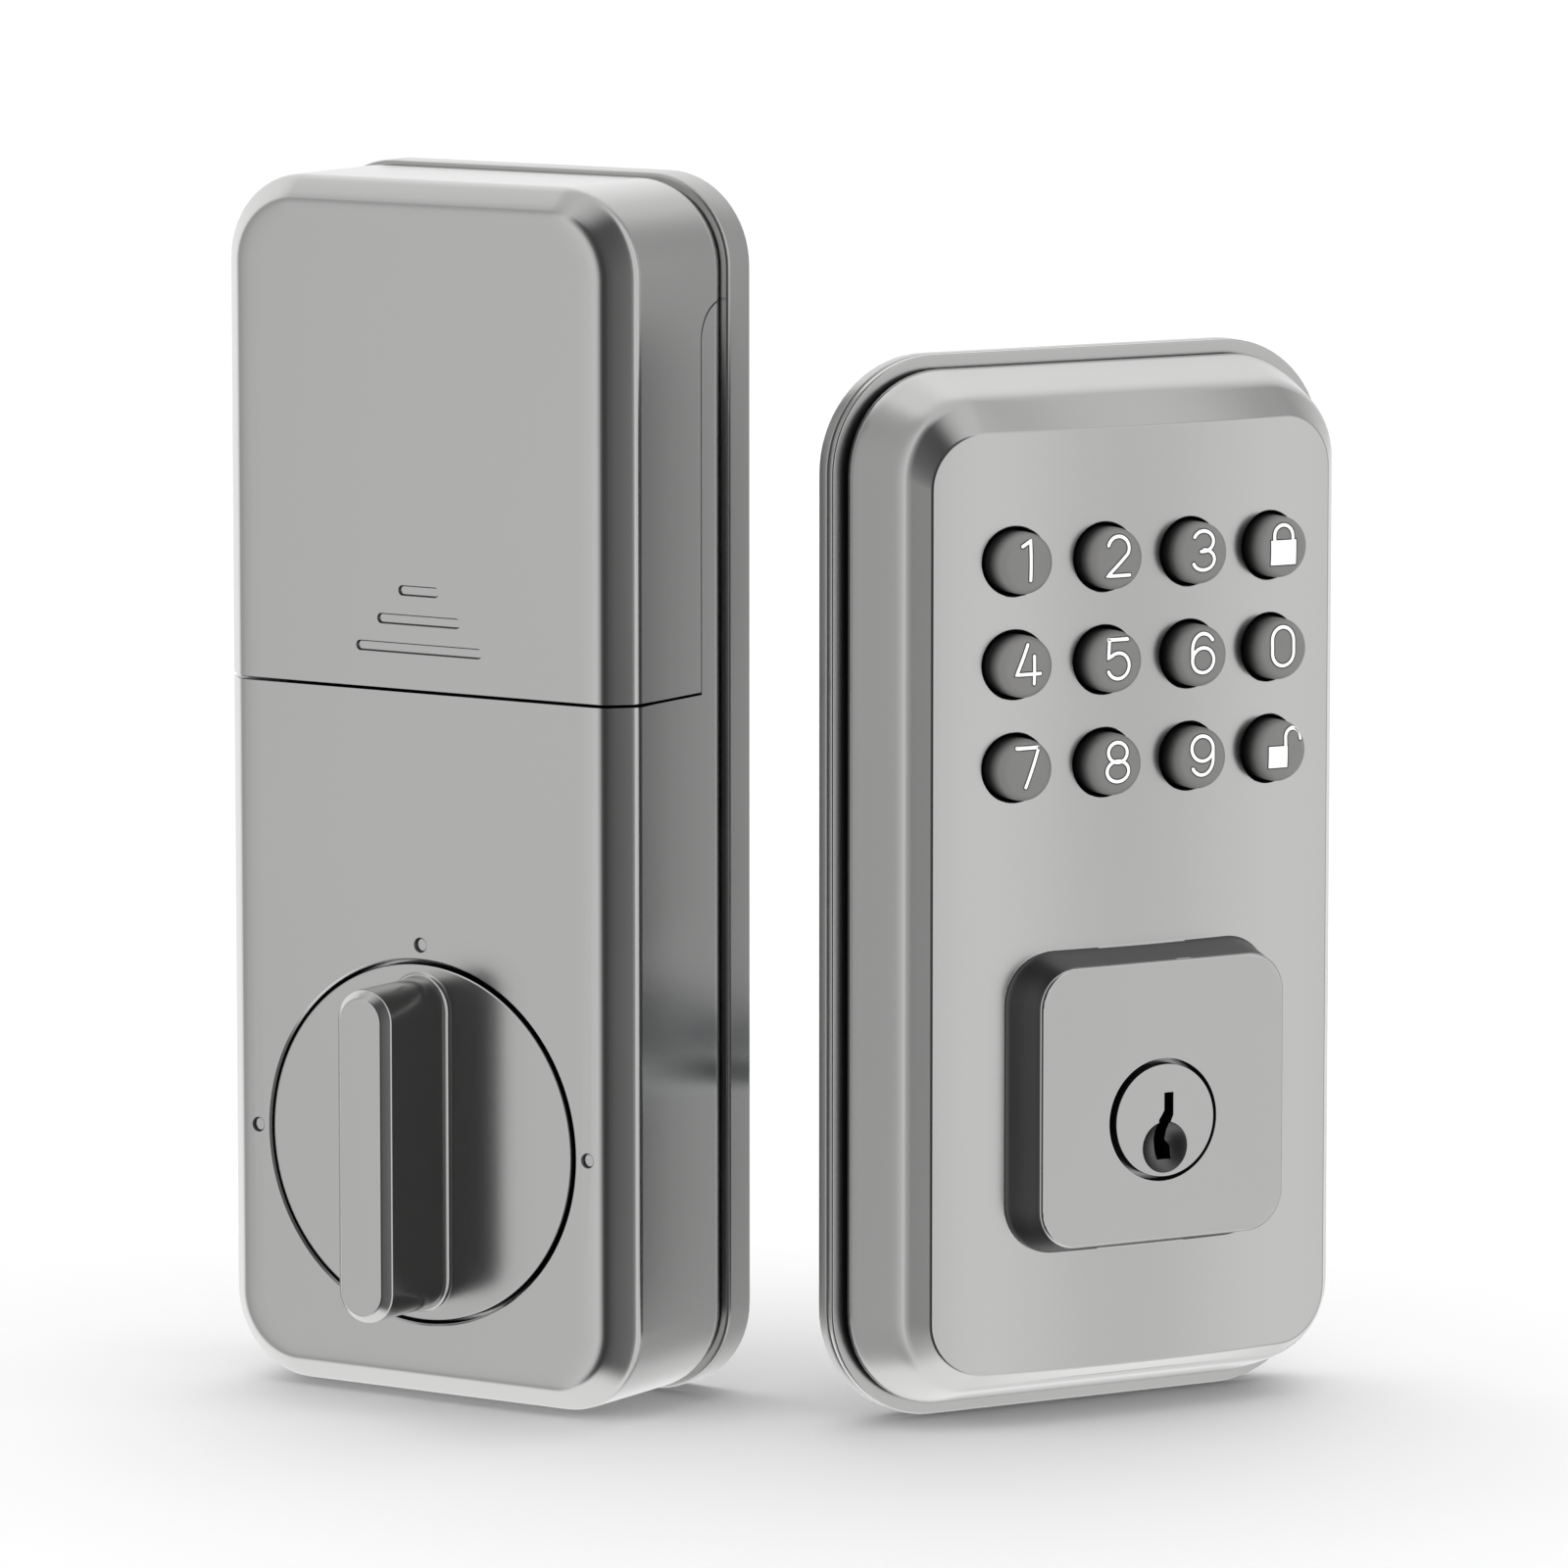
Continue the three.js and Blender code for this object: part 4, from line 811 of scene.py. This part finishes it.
def make_outdoor_housing():
    shell = Shell()
    front, cavity, room = BOSS["front"], 4.6, BOSS["front"] + 1.9
    outside, boss = outdoor_rings(), boss_rings()
    flat = [(x, z) for x, _, z in outside[0]]
    boss_foot = [(x, z) for x, _, z in boss[0]]
    keys = [(x, z) for _, x, z in key_places()]
    lips = [circle(KEY_HOLE_RADIUS + LIP, x, z, 48) for x, z in keys]
    shell.plate(flat, lips + [boss_foot], outdoor_crown, step=2.4)
    shell.loft(outside)
    shell.loft(boss)
    for x, z in keys:
        rings = []
        for out, back in [(LIP, 0.0), (0.05, 0.05), (0.0, 0.2)]:
            lip = circle(KEY_HOLE_RADIUS + out, x, z, 48)
            rings.append([(u, outdoor_crown(u) + back, v) for u, v in lip])
        shell.loft(rings + [ring_at(circle(KEY_HOLE_RADIUS, x, z, 48), cavity)])
    bore = PLUG_HOLE_RADIUS
    plug_circles = [(bore + LIP, front), (bore + 0.04, front + 0.05), (bore, front + LIP), (bore, room)]
    shell.loft([ring_at(circle(radius, 0, CYLINDER_Z, 96), y) for radius, y in plug_circles])
    boss_face = [(x, z) for x, _, z in boss[-1]]
    shell.plate(boss_face, [circle(bore + LIP, 0, CYLINDER_Z, 96)], lambda x: front)
    pear_room = pear_outline(GAP)
    shell.plate(pear_room, [circle(bore, 0, CYLINDER_Z, 96)], lambda x: room)
    shell.loft([ring_at(pear_room, room), ring_at(pear_room, cavity)])
    floor = rounded_outline(54, 112, 5, 0, FACE_Z, **OUTSIDE_DIVISION)
    brim = rounded_outline(62, 122.4, 9.5, 0, OUTDOOR_MIDDLE, **OUTSIDE_DIVISION)
    shell.loft([ring_at(floor, cavity), ring_at(brim, OUTDOOR["depth"]), outside[-1]])
    bosses = [(side * POST_X, CYLINDER_Z, 4.8, 3.3, 12.4) for side in (-1, 1)]
    bosses += [(x, z, 3, 1.6, 8.5) for x, z in FLANGE_SCREWS]
    feet = []
    for x, z, radius, bore, bottom in bosses:
        feet.append(circle(radius, x, z, 32))
        rings = [(radius, cavity), (radius, 14.2), (bore, 14.2), (bore, bottom)]
        shell.loft([ring_at(circle(r, x, z, 32), y) for r, y in rings])
        shell.plate(circle(bore, x, z, 32), [], lambda _, y=bottom: y)
    holes = [circle(KEY_HOLE_RADIUS, x, z, 48) for x, z in keys] + feet + [pear_room]
    shell.plate(floor, holes, lambda x: cavity)
    body = shell.build("outdoor_housing_shell", OUT)
    finish(body, "satin_nickel", "lock", ["outdoor_housing"])
    set_crown_normals(body, OUT, FACE_HALF, OUTDOOR_SAG)

    def in_gap(p):
        if math.hypot(p.x, p.z - CYLINDER_Z) < PLUG_HOLE_RADIUS + 0.1 and p.y > front + 0.3:
            return True
        near_key = any(math.hypot(p.x - x, p.z - z) < KEY_HOLE_RADIUS + 0.1 for x, z in keys)
        return (near_key and p.y > outdoor_crown(p.x) + 0.15) or 14.2 < p.y < 14.85

    def on_boss_side(p):
        reach = max(abs(p.x), abs(p.z - BOSS["z"])) - BOSS["width"] / 2
        return -1.6 < reach < 1.3 and front + 0.45 < p.y < outdoor_crown(p.x) - 0.1

    darken_where(body, OUT, in_gap, SHADOW)
    # The raised square's sides get darker nickel: painted shade in place of their reflection.
    darken_where(body, OUT, on_boss_side, SHADE_NICKEL)


def flange_plate(name, inset, front, back, edge):
    outline = inset_outline(FLANGE, inset, FLANGE["height"] / 2, arc=18)
    plate = slab(name, outline, front, back, OUT, edge=edge)
    cut(plate, pear("cylinder_hole", 2 * GAP, front - 2, back + 2))
    cut(plate, slab("cable_hole", rounded_outline(18, 10, 3, 0, 62, 8), front - 2, back + 2, OUT))
    for side in (-1, 1):
        cut(plate, hole(side * POST_X, CYLINDER_Z, 3.3, front - 2, back + 2, OUT, segments=32))
    return plate


def make_flange():
    trim = flange_plate("trim_ring", 0, *TRIM, 0.28)
    base = flange_plate("base_ring", 0, *BASE, 0.4)
    for x, z in FLANGE_SCREWS:
        cut(trim, hole(x, z, 1.6, 13, 20, OUT, segments=20))
        cut(base, hole(x, z, 1.6, 13, 20, OUT, segments=20), hole(x, z, 3, 17.1, 20, OUT, segments=32))
    finish(trim, "satin_nickel", "lock", ["outdoor_trim_plate"])
    finish(base, "plate_zinc", "lock", ["outdoor_base_plate"])
    gasket = flange_plate("gasket_sheet", 2, *GASKET, 0.3)
    finish(gasket, "foam", "lock", ["outdoor_gasket"])


def sign_strokes(name):
    """Centre lines of the sign on a cap, in a box one unit wide and high, about its middle."""
    loop_top = arc_points(0, 0.245, 0.40, 0.255, 0, 360, 28)
    loop_low = arc_points(0, -0.235, 0.46, 0.265, 0, 360, 28)
    strokes = {
        "key_1": [[(-0.26, 0.37), (0.08, 0.5), (0.08, -0.5)]],
        "key_2": [arc_points(0, 0.2, 0.44, 0.3, 165, -32, 16) + [(-0.46, -0.5), (0.48, -0.5)]],
        "key_3": [arc_points(0.0, 0.24, 0.42, 0.26, 155, -90, 16) + [(-0.12, -0.02)],
                  arc_points(0.0, -0.24, 0.46, 0.26, 90, -158, 16)],
        "key_4": [[(-0.02, 0.5), (-0.5, -0.25), (0.5, -0.25)], [(0.24, 0.2), (0.24, -0.5)]],
        "key_5": [[(0.42, 0.5), (-0.36, 0.5), (-0.42, 0.04)]
                  + arc_points(0.0, -0.17, 0.46, 0.33, 128, -155, 18)],
        "key_6": [arc_points(0, -0.18, 0.46, 0.32, 170, 530, 28),
                  [(-0.455, -0.12)] + arc_points(0.02, 0.1, 0.475, 0.4, 178, 35, 14)],
        "key_7": [[(-0.44, 0.5), (0.46, 0.5), (-0.1, -0.5)]],
        "key_8": [loop_top, loop_low],
        "key_9": [arc_points(0, 0.18, 0.46, 0.32, -10, 350, 28),
                  [(0.455, 0.12)] + arc_points(-0.02, -0.1, 0.475, 0.4, -2, -145, 14)],
        "key_0": [arc_points(0, 0.16, 0.46, 0.34, 0, 180, 16) + arc_points(0, -0.16, 0.46, 0.34, 180, 360, 16)
                  + [(0.46, 0.16)]],
    }
    return strokes.get(name)


PADLOCKS = {
    "key_lock": {"body": (-1.82, 1.82, -2.55, 0.55), "shackle": (0.0, 0.5, 1.3)},
    "key_unlock": {"body": (-1.95, 0.75, -2.4, 0.3), "shackle": (0.92, 1.0, 1.1)},
}


def divide(points, length):
    """The same line with more points, so that it can follow a dome."""
    finer = [points[0]]
    for (x0, z0), (x1, z1) in zip(points, points[1:]):
        steps = max(1, math.ceil(math.hypot(x1 - x0, z1 - z0) / length))
        finer += [(x0 + (x1 - x0) * i / steps, z0 + (z1 - z0) * i / steps) for i in range(1, steps + 1)]
    return finer


def ribbon(points, half, lift, height_at):
    """Vertices and faces of a flat painted stroke with round ends, lying on the cap."""
    points = divide(points, 0.35)
    closed = math.dist(points[0], points[-1]) < 1e-6
    if closed:
        points = points[:-1]
    count = len(points)
    vertices, faces = [], []

    def put(x, z):
        vertices.append((x, height_at(x, z) - lift, z))
        return len(vertices) - 1

    rails = []
    for i, (x, z) in enumerate(points):
        before = points[i - 1] if closed or i else points[i]
        after = points[(i + 1) % count] if closed or i < count - 1 else points[i]
        ux, uz = x - before[0], z - before[1]
        vx, vz = after[0] - x, after[1] - z
        lu, lv = math.hypot(ux, uz) or 1, math.hypot(vx, vz) or 1
        tx, tz = ux / lu + vx / lv, uz / lu + vz / lv
        length = math.hypot(tx, tz) or 1
        tx, tz = tx / length, tz / length
        bend = abs(tx * vx / lv + tz * vz / lv) if lv != 1 or (vx, vz) != (0, 0) else 1
        reach = half / max(bend, 0.7)
        rails.append((put(x - tz * reach, z + tx * reach), put(x + tz * reach, z - tx * reach), (tx, tz)))
    spans = count if closed else count - 1
    for i in range(spans):
        a, b = rails[i], rails[(i + 1) % count]
        faces.append((a[0], b[0], b[1], a[1]))
    if not closed:
        for end, sign in ((0, -1), (count - 1, 1)):
            left, right, (tx, tz) = rails[end]
            x, z = points[end]
            fan = [left]
            for step in range(1, 6):
                angle = math.pi * step / 6
                along, side = sign * math.sin(angle), math.cos(angle)
                fan.append(put(x + half * (tx * along - tz * side), z + half * (tz * along + tx * side)))
            fan.append(right)
            faces.append(tuple(fan))
    return vertices, faces


def plate_sign(corners, lift, height_at):
    x0, x1, z0, z1 = corners
    vertices, faces = [], []
    steps = 6
    for i in range(steps + 1):
        for j in range(steps + 1):
            x, z = x0 + (x1 - x0) * i / steps, z0 + (z1 - z0) * j / steps
            vertices.append((x, height_at(x, z) - lift, z))
    for i in range(steps):
        for j in range(steps):
            a = i * (steps + 1) + j
            faces.append((a, a + 1, a + steps + 2, a + steps + 1))
    return vertices, faces


def sign_parts(name, half, lift, height_at):
    """The painted areas of one sign, for a stroke of the given half width."""
    if name in PADLOCKS:
        x0, x1, z0, z1 = PADLOCKS[name]["body"]
        grow = half - 0.24
        parts = [plate_sign((x0 - grow, x1 + grow, z0 - grow, z1 + grow), lift, height_at)]
        sx, reach, r = PADLOCKS[name]["shackle"]
        top = z1 + reach
        left_foot, right_foot = z1 - 0.1, z1 - 0.1
        if name == "key_unlock":
            sx, left_foot, right_foot = x1 - 0.3 + r, z1 - 0.1, z1 + 0.75
        path = [(sx - r, left_foot)] + arc_points(sx, top, r, r, 180, 0, 16) + [(sx + r, right_foot)]
        parts.append(ribbon(path, half, lift, height_at))
        return parts
    return [ribbon([(x * SIGN_WIDTH, z * SIGN_HEIGHT) for x, z in stroke], half, lift, height_at)
            for stroke in sign_strokes(name)]


def sign_mesh(name, parts, x, z):
    vertices, faces = [], []
    for part_vertices, part_faces in parts:
        offset = len(vertices)
        vertices += [(px + x, py, pz + z) for px, py, pz in part_vertices]
        faces += [tuple(index + offset for index in face) for face in part_faces]
    obj = mesh_object(name, vertices, faces, OUT)
    toward = (OUT.to_3x3() @ Vector((0, -1, 0))).normalized()
    for face in obj.data.polygons:
        if face.normal.dot(toward) < 0:
            face.flip()
    return obj


def make_key(name, x, z):
    front = outdoor_crown(x) - KEY_PROUD
    r = KEY_RADIUS
    flat, turn = r - KEY_EDGE, KEY_EDGE - 0.1

    def height_at(px, pz):
        out = math.hypot(px, pz)
        bend = min(max(out - flat, 0) / turn, 1)
        return front + KEY_DOME * (min(out, flat) / r) ** 2 + KEY_EDGE * (1 - math.sqrt(1 - bend ** 2))

    def sign_height(px, pz):
        return height_at(px, pz + SIGN_RAISE)

    def paint(suffix, half, lift, ink):
        parts = sign_parts(name, half, lift, sign_height)
        painted = sign_mesh(name + suffix, parts, x, z + SIGN_RAISE)
        painted.data.materials.append(ink)
        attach(painted, name)

    radii = [flat * step / 6 for step in range(1, 7)]
    radii += [flat + turn * math.sin(math.radians(90 * step / 7)) for step in range(1, 8)]
    profile = [(0.01, front)] + [(radius, height_at(radius, 0)) for radius in radii]
    profile += [(r, 5), (5.6, 5), (5.6, 6.2), (2.7, 6.2), (2.7, 2.2), (0.01, 2.2)]
    cap = turned(name + "_cap", profile, x, z, OUT, 64)
    finish(cap, "key_grey", name, [name])
    paint("_sign_edge", STROKE["dark"], STROKE["dark_lift"], INK_DARK)
    paint("_sign", STROKE["white"], STROKE["white_lift"], GLOWING_WHITE_INK)


def make_plug():
    front, rim = BOSS["front"] - PLUG_PROUD, PLUG_RIM_RADIUS
    profile = [(rim - 0.15, front), (rim - 0.03, front + 0.06), (rim, front + 0.25), (rim, front + 1.6),
               (6.35, front + 1.6), (6.35, PLUG_BACK - 0.3), (6.05, PLUG_BACK)]
    lip = on_cylinder("plug_lip", profile, 96)
    scoop_z, scoop_r, scoop_depth = CYLINDER_Z - SCOOP["drop"], SCOOP["radius"], SCOOP["depth"]
    bowl = (scoop_r ** 2 + scoop_depth ** 2) / (2 * scoop_depth)
    centre_y = front + scoop_depth - bowl
    dish = []
    for step in range(13):
        angle = math.radians(180 * step / 12)
        dish.append((max(bowl * math.sin(angle), 0.01), centre_y - bowl * math.cos(angle)))
    cut(lip, turned("scoop", dish, 0, scoop_z, OUT, 48))
    z = CYLINDER_Z
    slot = [(-0.12, z + 3.4), (-0.12, z + 1.2), (-0.85, z + 0.1), (-0.85, z - 2.2), (-0.5, z - 5.0),
            (1.4, z - 5.0), (1.4, z - 3.4), (0.75, z - 2.6), (0.75, z - 0.4), (1.18, z + 0.6),
            (1.18, z + 3.4)]
    cut(lip, slab("keyway", slot, front - 2, 18, OUT))
    finish(lip, "satin_nickel", "plug", ["key_plug"])

    def in_bowl_or_side(p):
        out = math.hypot(p.x, p.z - CYLINDER_Z)
        bowl_out = math.hypot(p.x, p.z - scoop_z)
        return p.y > front + 0.12 and (out > rim - 0.2 or bowl_out < scoop_r)

    # The plug's scoop and side get darker nickel: painted shade.
    darken_where(lip, OUT, in_bowl_or_side, SHADE_NICKEL)


def make_cylinder():
    body = pear("cylinder_case", 0, -3, 24)
    cut(body, hole(0, CYLINDER_Z, 6.65, -5, 26, OUT))
    finish(body, "steel", "lock", ["cylinder_body"])


def make_tail():
    cap = on_cylinder("cap_cup", [(7.4, 24.8), (8.0, 25.2), (8.0, 27.9), (7.5, 28.3)], 64)
    cut(cap, hole(0, CYLINDER_Z, 5.9, 24, 26.3, OUT))
    cut(cap, slab("tail_hole", rounded_outline(2.6, 8.4, 0.4, 0, CYLINDER_Z, 4), 20, 30, OUT))
    for step in range(24):
        angle = math.radians(15 * step)
        x, z = 8.25 * math.cos(angle), CYLINDER_Z + 8.25 * math.sin(angle)
        cut(cap, hole(x, z, 0.5, 24, 29, OUT, segments=10))
    finish(cap, "steel", "plug", ["tailpiece_cap"])
    head = on_cylinder("tail_head", [(5.3, 24.8), (5.6, 25.0), (5.6, 25.8), (5.3, 26.0)], 48)
    blade = slab("tail_blade", rounded_outline(2, 7.8, 0.5, 0, CYLINDER_Z, 5), 25.5, 58, OUT, edge=0.3)
    tail = join(head, blade)
    for step in range(4):
        y = 33 + 5.5 * step
        for side in (-1, 1):
            cut(tail, slab("nick", side_box(side, 0.75, 1.4, CYLINDER_Z, 5), y - 0.25, y + 0.25, OUT))
    finish(tail, "steel", "plug", ["tailpiece"])


def make_posts():
    for side, node in ((-1, "threaded_post_left"), (1, "threaded_post_right")):
        loop = [(3.0, 13.0), (3.0, 39.7), (2.7, 40.0), (2.2, 40.0)]
        y = 39.6
        while y > 29:
            loop += [(1.72, y - 0.25), (2.0, y - 0.5)]
            y -= 0.5
        loop += [(1.7, 28.2), (0.02, 27.4), (0.02, 12.7), (2.7, 12.7)]
        post = turned(node + "_sleeve", loop, side * POST_X, CYLINDER_Z, OUT, 40)
        finish(post, "steel", "lock", [node])


def screw_piece(node, x, z, matrix, head_front, head_back, radius, shaft_radius, shaft_end):
    """A pan-head screw whose cross recess faces away from its shaft."""
    sign = 1 if shaft_end > head_back else -1
    profile = [(radius * 0.55, head_front), (radius * 0.85, head_front + sign * 0.12),
               (radius, head_front + sign * 0.45), (radius, head_back), (shaft_radius, head_back)]
    steps = int(abs(shaft_end - head_back) / 0.5) - 1
    for step in range(steps):
        y = head_back + sign * (0.4 + 0.5 * step)
        profile += [(shaft_radius, y), (shaft_radius - 0.22, y + sign * 0.25)]
    profile.append((shaft_radius * 0.5, shaft_end))
    piece = turned(node + "_piece", profile, x, z, matrix, 32)
    for w, h in ((radius * 1.1, radius * 0.26), (radius * 0.26, radius * 1.1)):
        bar = [(x - w / 2, z - h / 2), (x + w / 2, z - h / 2), (x + w / 2, z + h / 2), (x - w / 2, z + h / 2)]
        low, high = sorted((head_front - sign * 1.0, head_front + sign * 0.6))
        cut(piece, slab("recess", bar, low, high, matrix))
    finish(piece, "steel", "lock", [node])


def make_screws():
    for i, side in enumerate((-1, 1)):
        x, z = HOUSING_SCREW
        screw_piece(f"housing_screw_{i + 1}", side * x, z, IN, 17.4, 19, 2.9, 1.5, 26.4)
    for i, (x, z) in enumerate(FLANGE_SCREWS):
        screw_piece(f"flange_screw_{i + 1}", x, z, OUT, 18.4, 17.4, 2.7, 1.25, 9)


# ---------- nodes kept from the CAD ----------
def dress_cad_nodes():
    slots = {part["node"]: part["material_slot"] for part in frame["record"]["subparts"]}
    for name, obj in frame["nodes"].items():
        obj.data.materials.clear()
        obj.data.materials.append(MATERIALS[slots[name]])
        bevel = obj.modifiers.new("edges", "BEVEL")
        bevel.width = 0.15 * MM
        bevel.segments = 2
        bevel.limit_method = "ANGLE"
        bevel.angle_limit = math.radians(40)
        bevel.harden_normals = True


# ---------- stage, lights and camera ----------
def make_stage():
    size = 6.0
    vertices = [(-size, -size, 0), (size, -size, 0), (size, size, 0), (-size, size, 0)]
    floor = mesh_object("floor", vertices, [(0, 1, 2, 3)], Matrix.Identity(4))
    material = surface("floor_paper", (0.93, 0.93, 0.93), 0.8, grain=60, bump=0.02, vary=0.004, blotch=2)
    floor.data.materials.append(material)
    floor.visible_glossy = False


def make_sun():
    """A very soft light from above for the floor and the plastic pieces."""
    light = bpy.data.lights.new("sky_panel", "SUN")
    light.energy = 1.5
    light.angle = math.radians(120)
    obj = bpy.data.objects.new("sky_panel", light)
    obj.rotation_mode = "XYZ"
    obj.rotation_euler = (math.radians(12), 0, 0)
    obj.visible_glossy = False
    bpy.context.scene.collection.objects.link(obj)


# Brightness of the studio round the object: (azimuth in degrees from the camera's side, tone).
STUDIO_TONES = [
    (-180, 1.1), (-125, 1.08), (-95, 0.46), (-80, 0.52), (-66, 0.72), (-57, 0.98), (-48, 0.45),
    (-38, 0.15), (-30, 0.11), (-18, 0.06), (0, 0.07), (15, 0.08), (25, 0.12), (33, 0.55), (40, 1.02),
    (58, 0.72), (78, 0.95), (100, 0.62), (118, 0.40), (145, 0.8), (180, 1.1),
]
STUDIO_ABOVE = 0.75
STUDIO_BELOW = 1.1


def mix_node(nodes, links, factor, first, second):
    node = nodes.new("ShaderNodeMix")
    node.data_type = "RGBA"
    links.new(factor, node.inputs["Factor"])
    for label, value in (("A", first), ("B", second)):
        if isinstance(value, (int, float)):
            node.inputs[label].default_value = (value, value, value, 1)
        else:
            links.new(value, node.inputs[label])
    return node.outputs["Result"]


def make_world():
    """A pale studio: dim towards the camera's side, bright to the sides and behind the object."""
    world = bpy.data.worlds.new("studio")
    bpy.context.scene.world = world
    world.use_nodes = True
    nodes, links = world.node_tree.nodes, world.node_tree.links
    background = nodes["Background"]
    coordinates = nodes.new("ShaderNodeTexCoord")
    split = nodes.new("ShaderNodeSeparateXYZ")
    links.new(coordinates.outputs["Generated"], split.inputs["Vector"])
    ahead = math_node(nodes, links, "MULTIPLY", split.outputs["Y"], -1.0)
    azimuth = math_node(nodes, links, "ARCTAN2", split.outputs["X"], ahead)
    turn = math_node(nodes, links, "MULTIPLY_ADD", azimuth, 0.5 / math.pi, 0.5)
    ramp = nodes.new("ShaderNodeValToRGB")
    ramp.color_ramp.interpolation = "EASE"
    elements = ramp.color_ramp.elements
    stops = [((angle + 180) / 360, tone) for angle, tone in STUDIO_TONES]
    elements[0].position, elements[1].position = stops[0][0], stops[-1][0]
    elements[0].color = (*[stops[0][1]] * 3, 1)
    elements[1].color = (*[stops[-1][1]] * 3, 1)
    for position, tone in stops[1:-1]:
        elements.new(position).color = (tone, tone, tone, 1)
    links.new(turn, ramp.inputs["Fac"])
    above = nodes.new("ShaderNodeMapRange")
    above.interpolation_type = "SMOOTHSTEP"
    above.inputs["From Min"].default_value, above.inputs["From Max"].default_value = 0.8, 0.97
    links.new(split.outputs["Z"], above.inputs["Value"])
    below = nodes.new("ShaderNodeMapRange")
    below.interpolation_type = "SMOOTHSTEP"
    below.inputs["From Min"].default_value, below.inputs["From Max"].default_value = -0.75, -0.95
    links.new(split.outputs["Z"], below.inputs["Value"])
    capped = mix_node(nodes, links, above.outputs["Result"], ramp.outputs["Color"], STUDIO_ABOVE)
    floored = mix_node(nodes, links, below.outputs["Result"], capped, STUDIO_BELOW)
    paths = nodes.new("ShaderNodeLightPath")
    seen = mix_node(nodes, links, paths.outputs["Is Camera Ray"], floored, 1.0)
    links.new(seen, background.inputs["Color"])


def make_camera():
    """The camera, a long lens a little above the units, looking straight between them."""
    lens, distance, elevation = 231.16, 1.22615, math.radians(7.851)
    camera = bpy.data.cameras.new("camera")
    camera.sensor_width = 36
    camera.lens = lens
    obj = bpy.data.objects.new("camera", camera)
    bpy.context.scene.collection.objects.link(obj)
    target = Vector((0.00058, -0.01273, 0.07741))
    back = Vector((0, -math.cos(elevation), math.sin(elevation)))
    obj.location = target + back * distance
    obj.rotation_mode = "QUATERNION"
    obj.rotation_quaternion = (-back).to_track_quat("-Z", "Y")
    camera.clip_start, camera.clip_end = 0.05, 50
    bpy.context.scene.camera = obj


make_camera()
make_stage()
make_world()
make_sun()
dress_cad_nodes()
make_indoor_housing()
make_battery_cover()
make_back_plate()
make_thumb_turn()
for index, height in enumerate(BATTERY_Z):
    make_battery(4 - index, height, 1 if index % 2 else -1)
make_contacts()
make_outdoor_housing()
make_flange()
for key_name, key_x, key_z in key_places():
    make_key(key_name, key_x, key_z)
make_plug()
make_cylinder()
make_tail()
make_posts()
make_screws()
bpy.context.scene.view_settings.view_transform = "Standard"
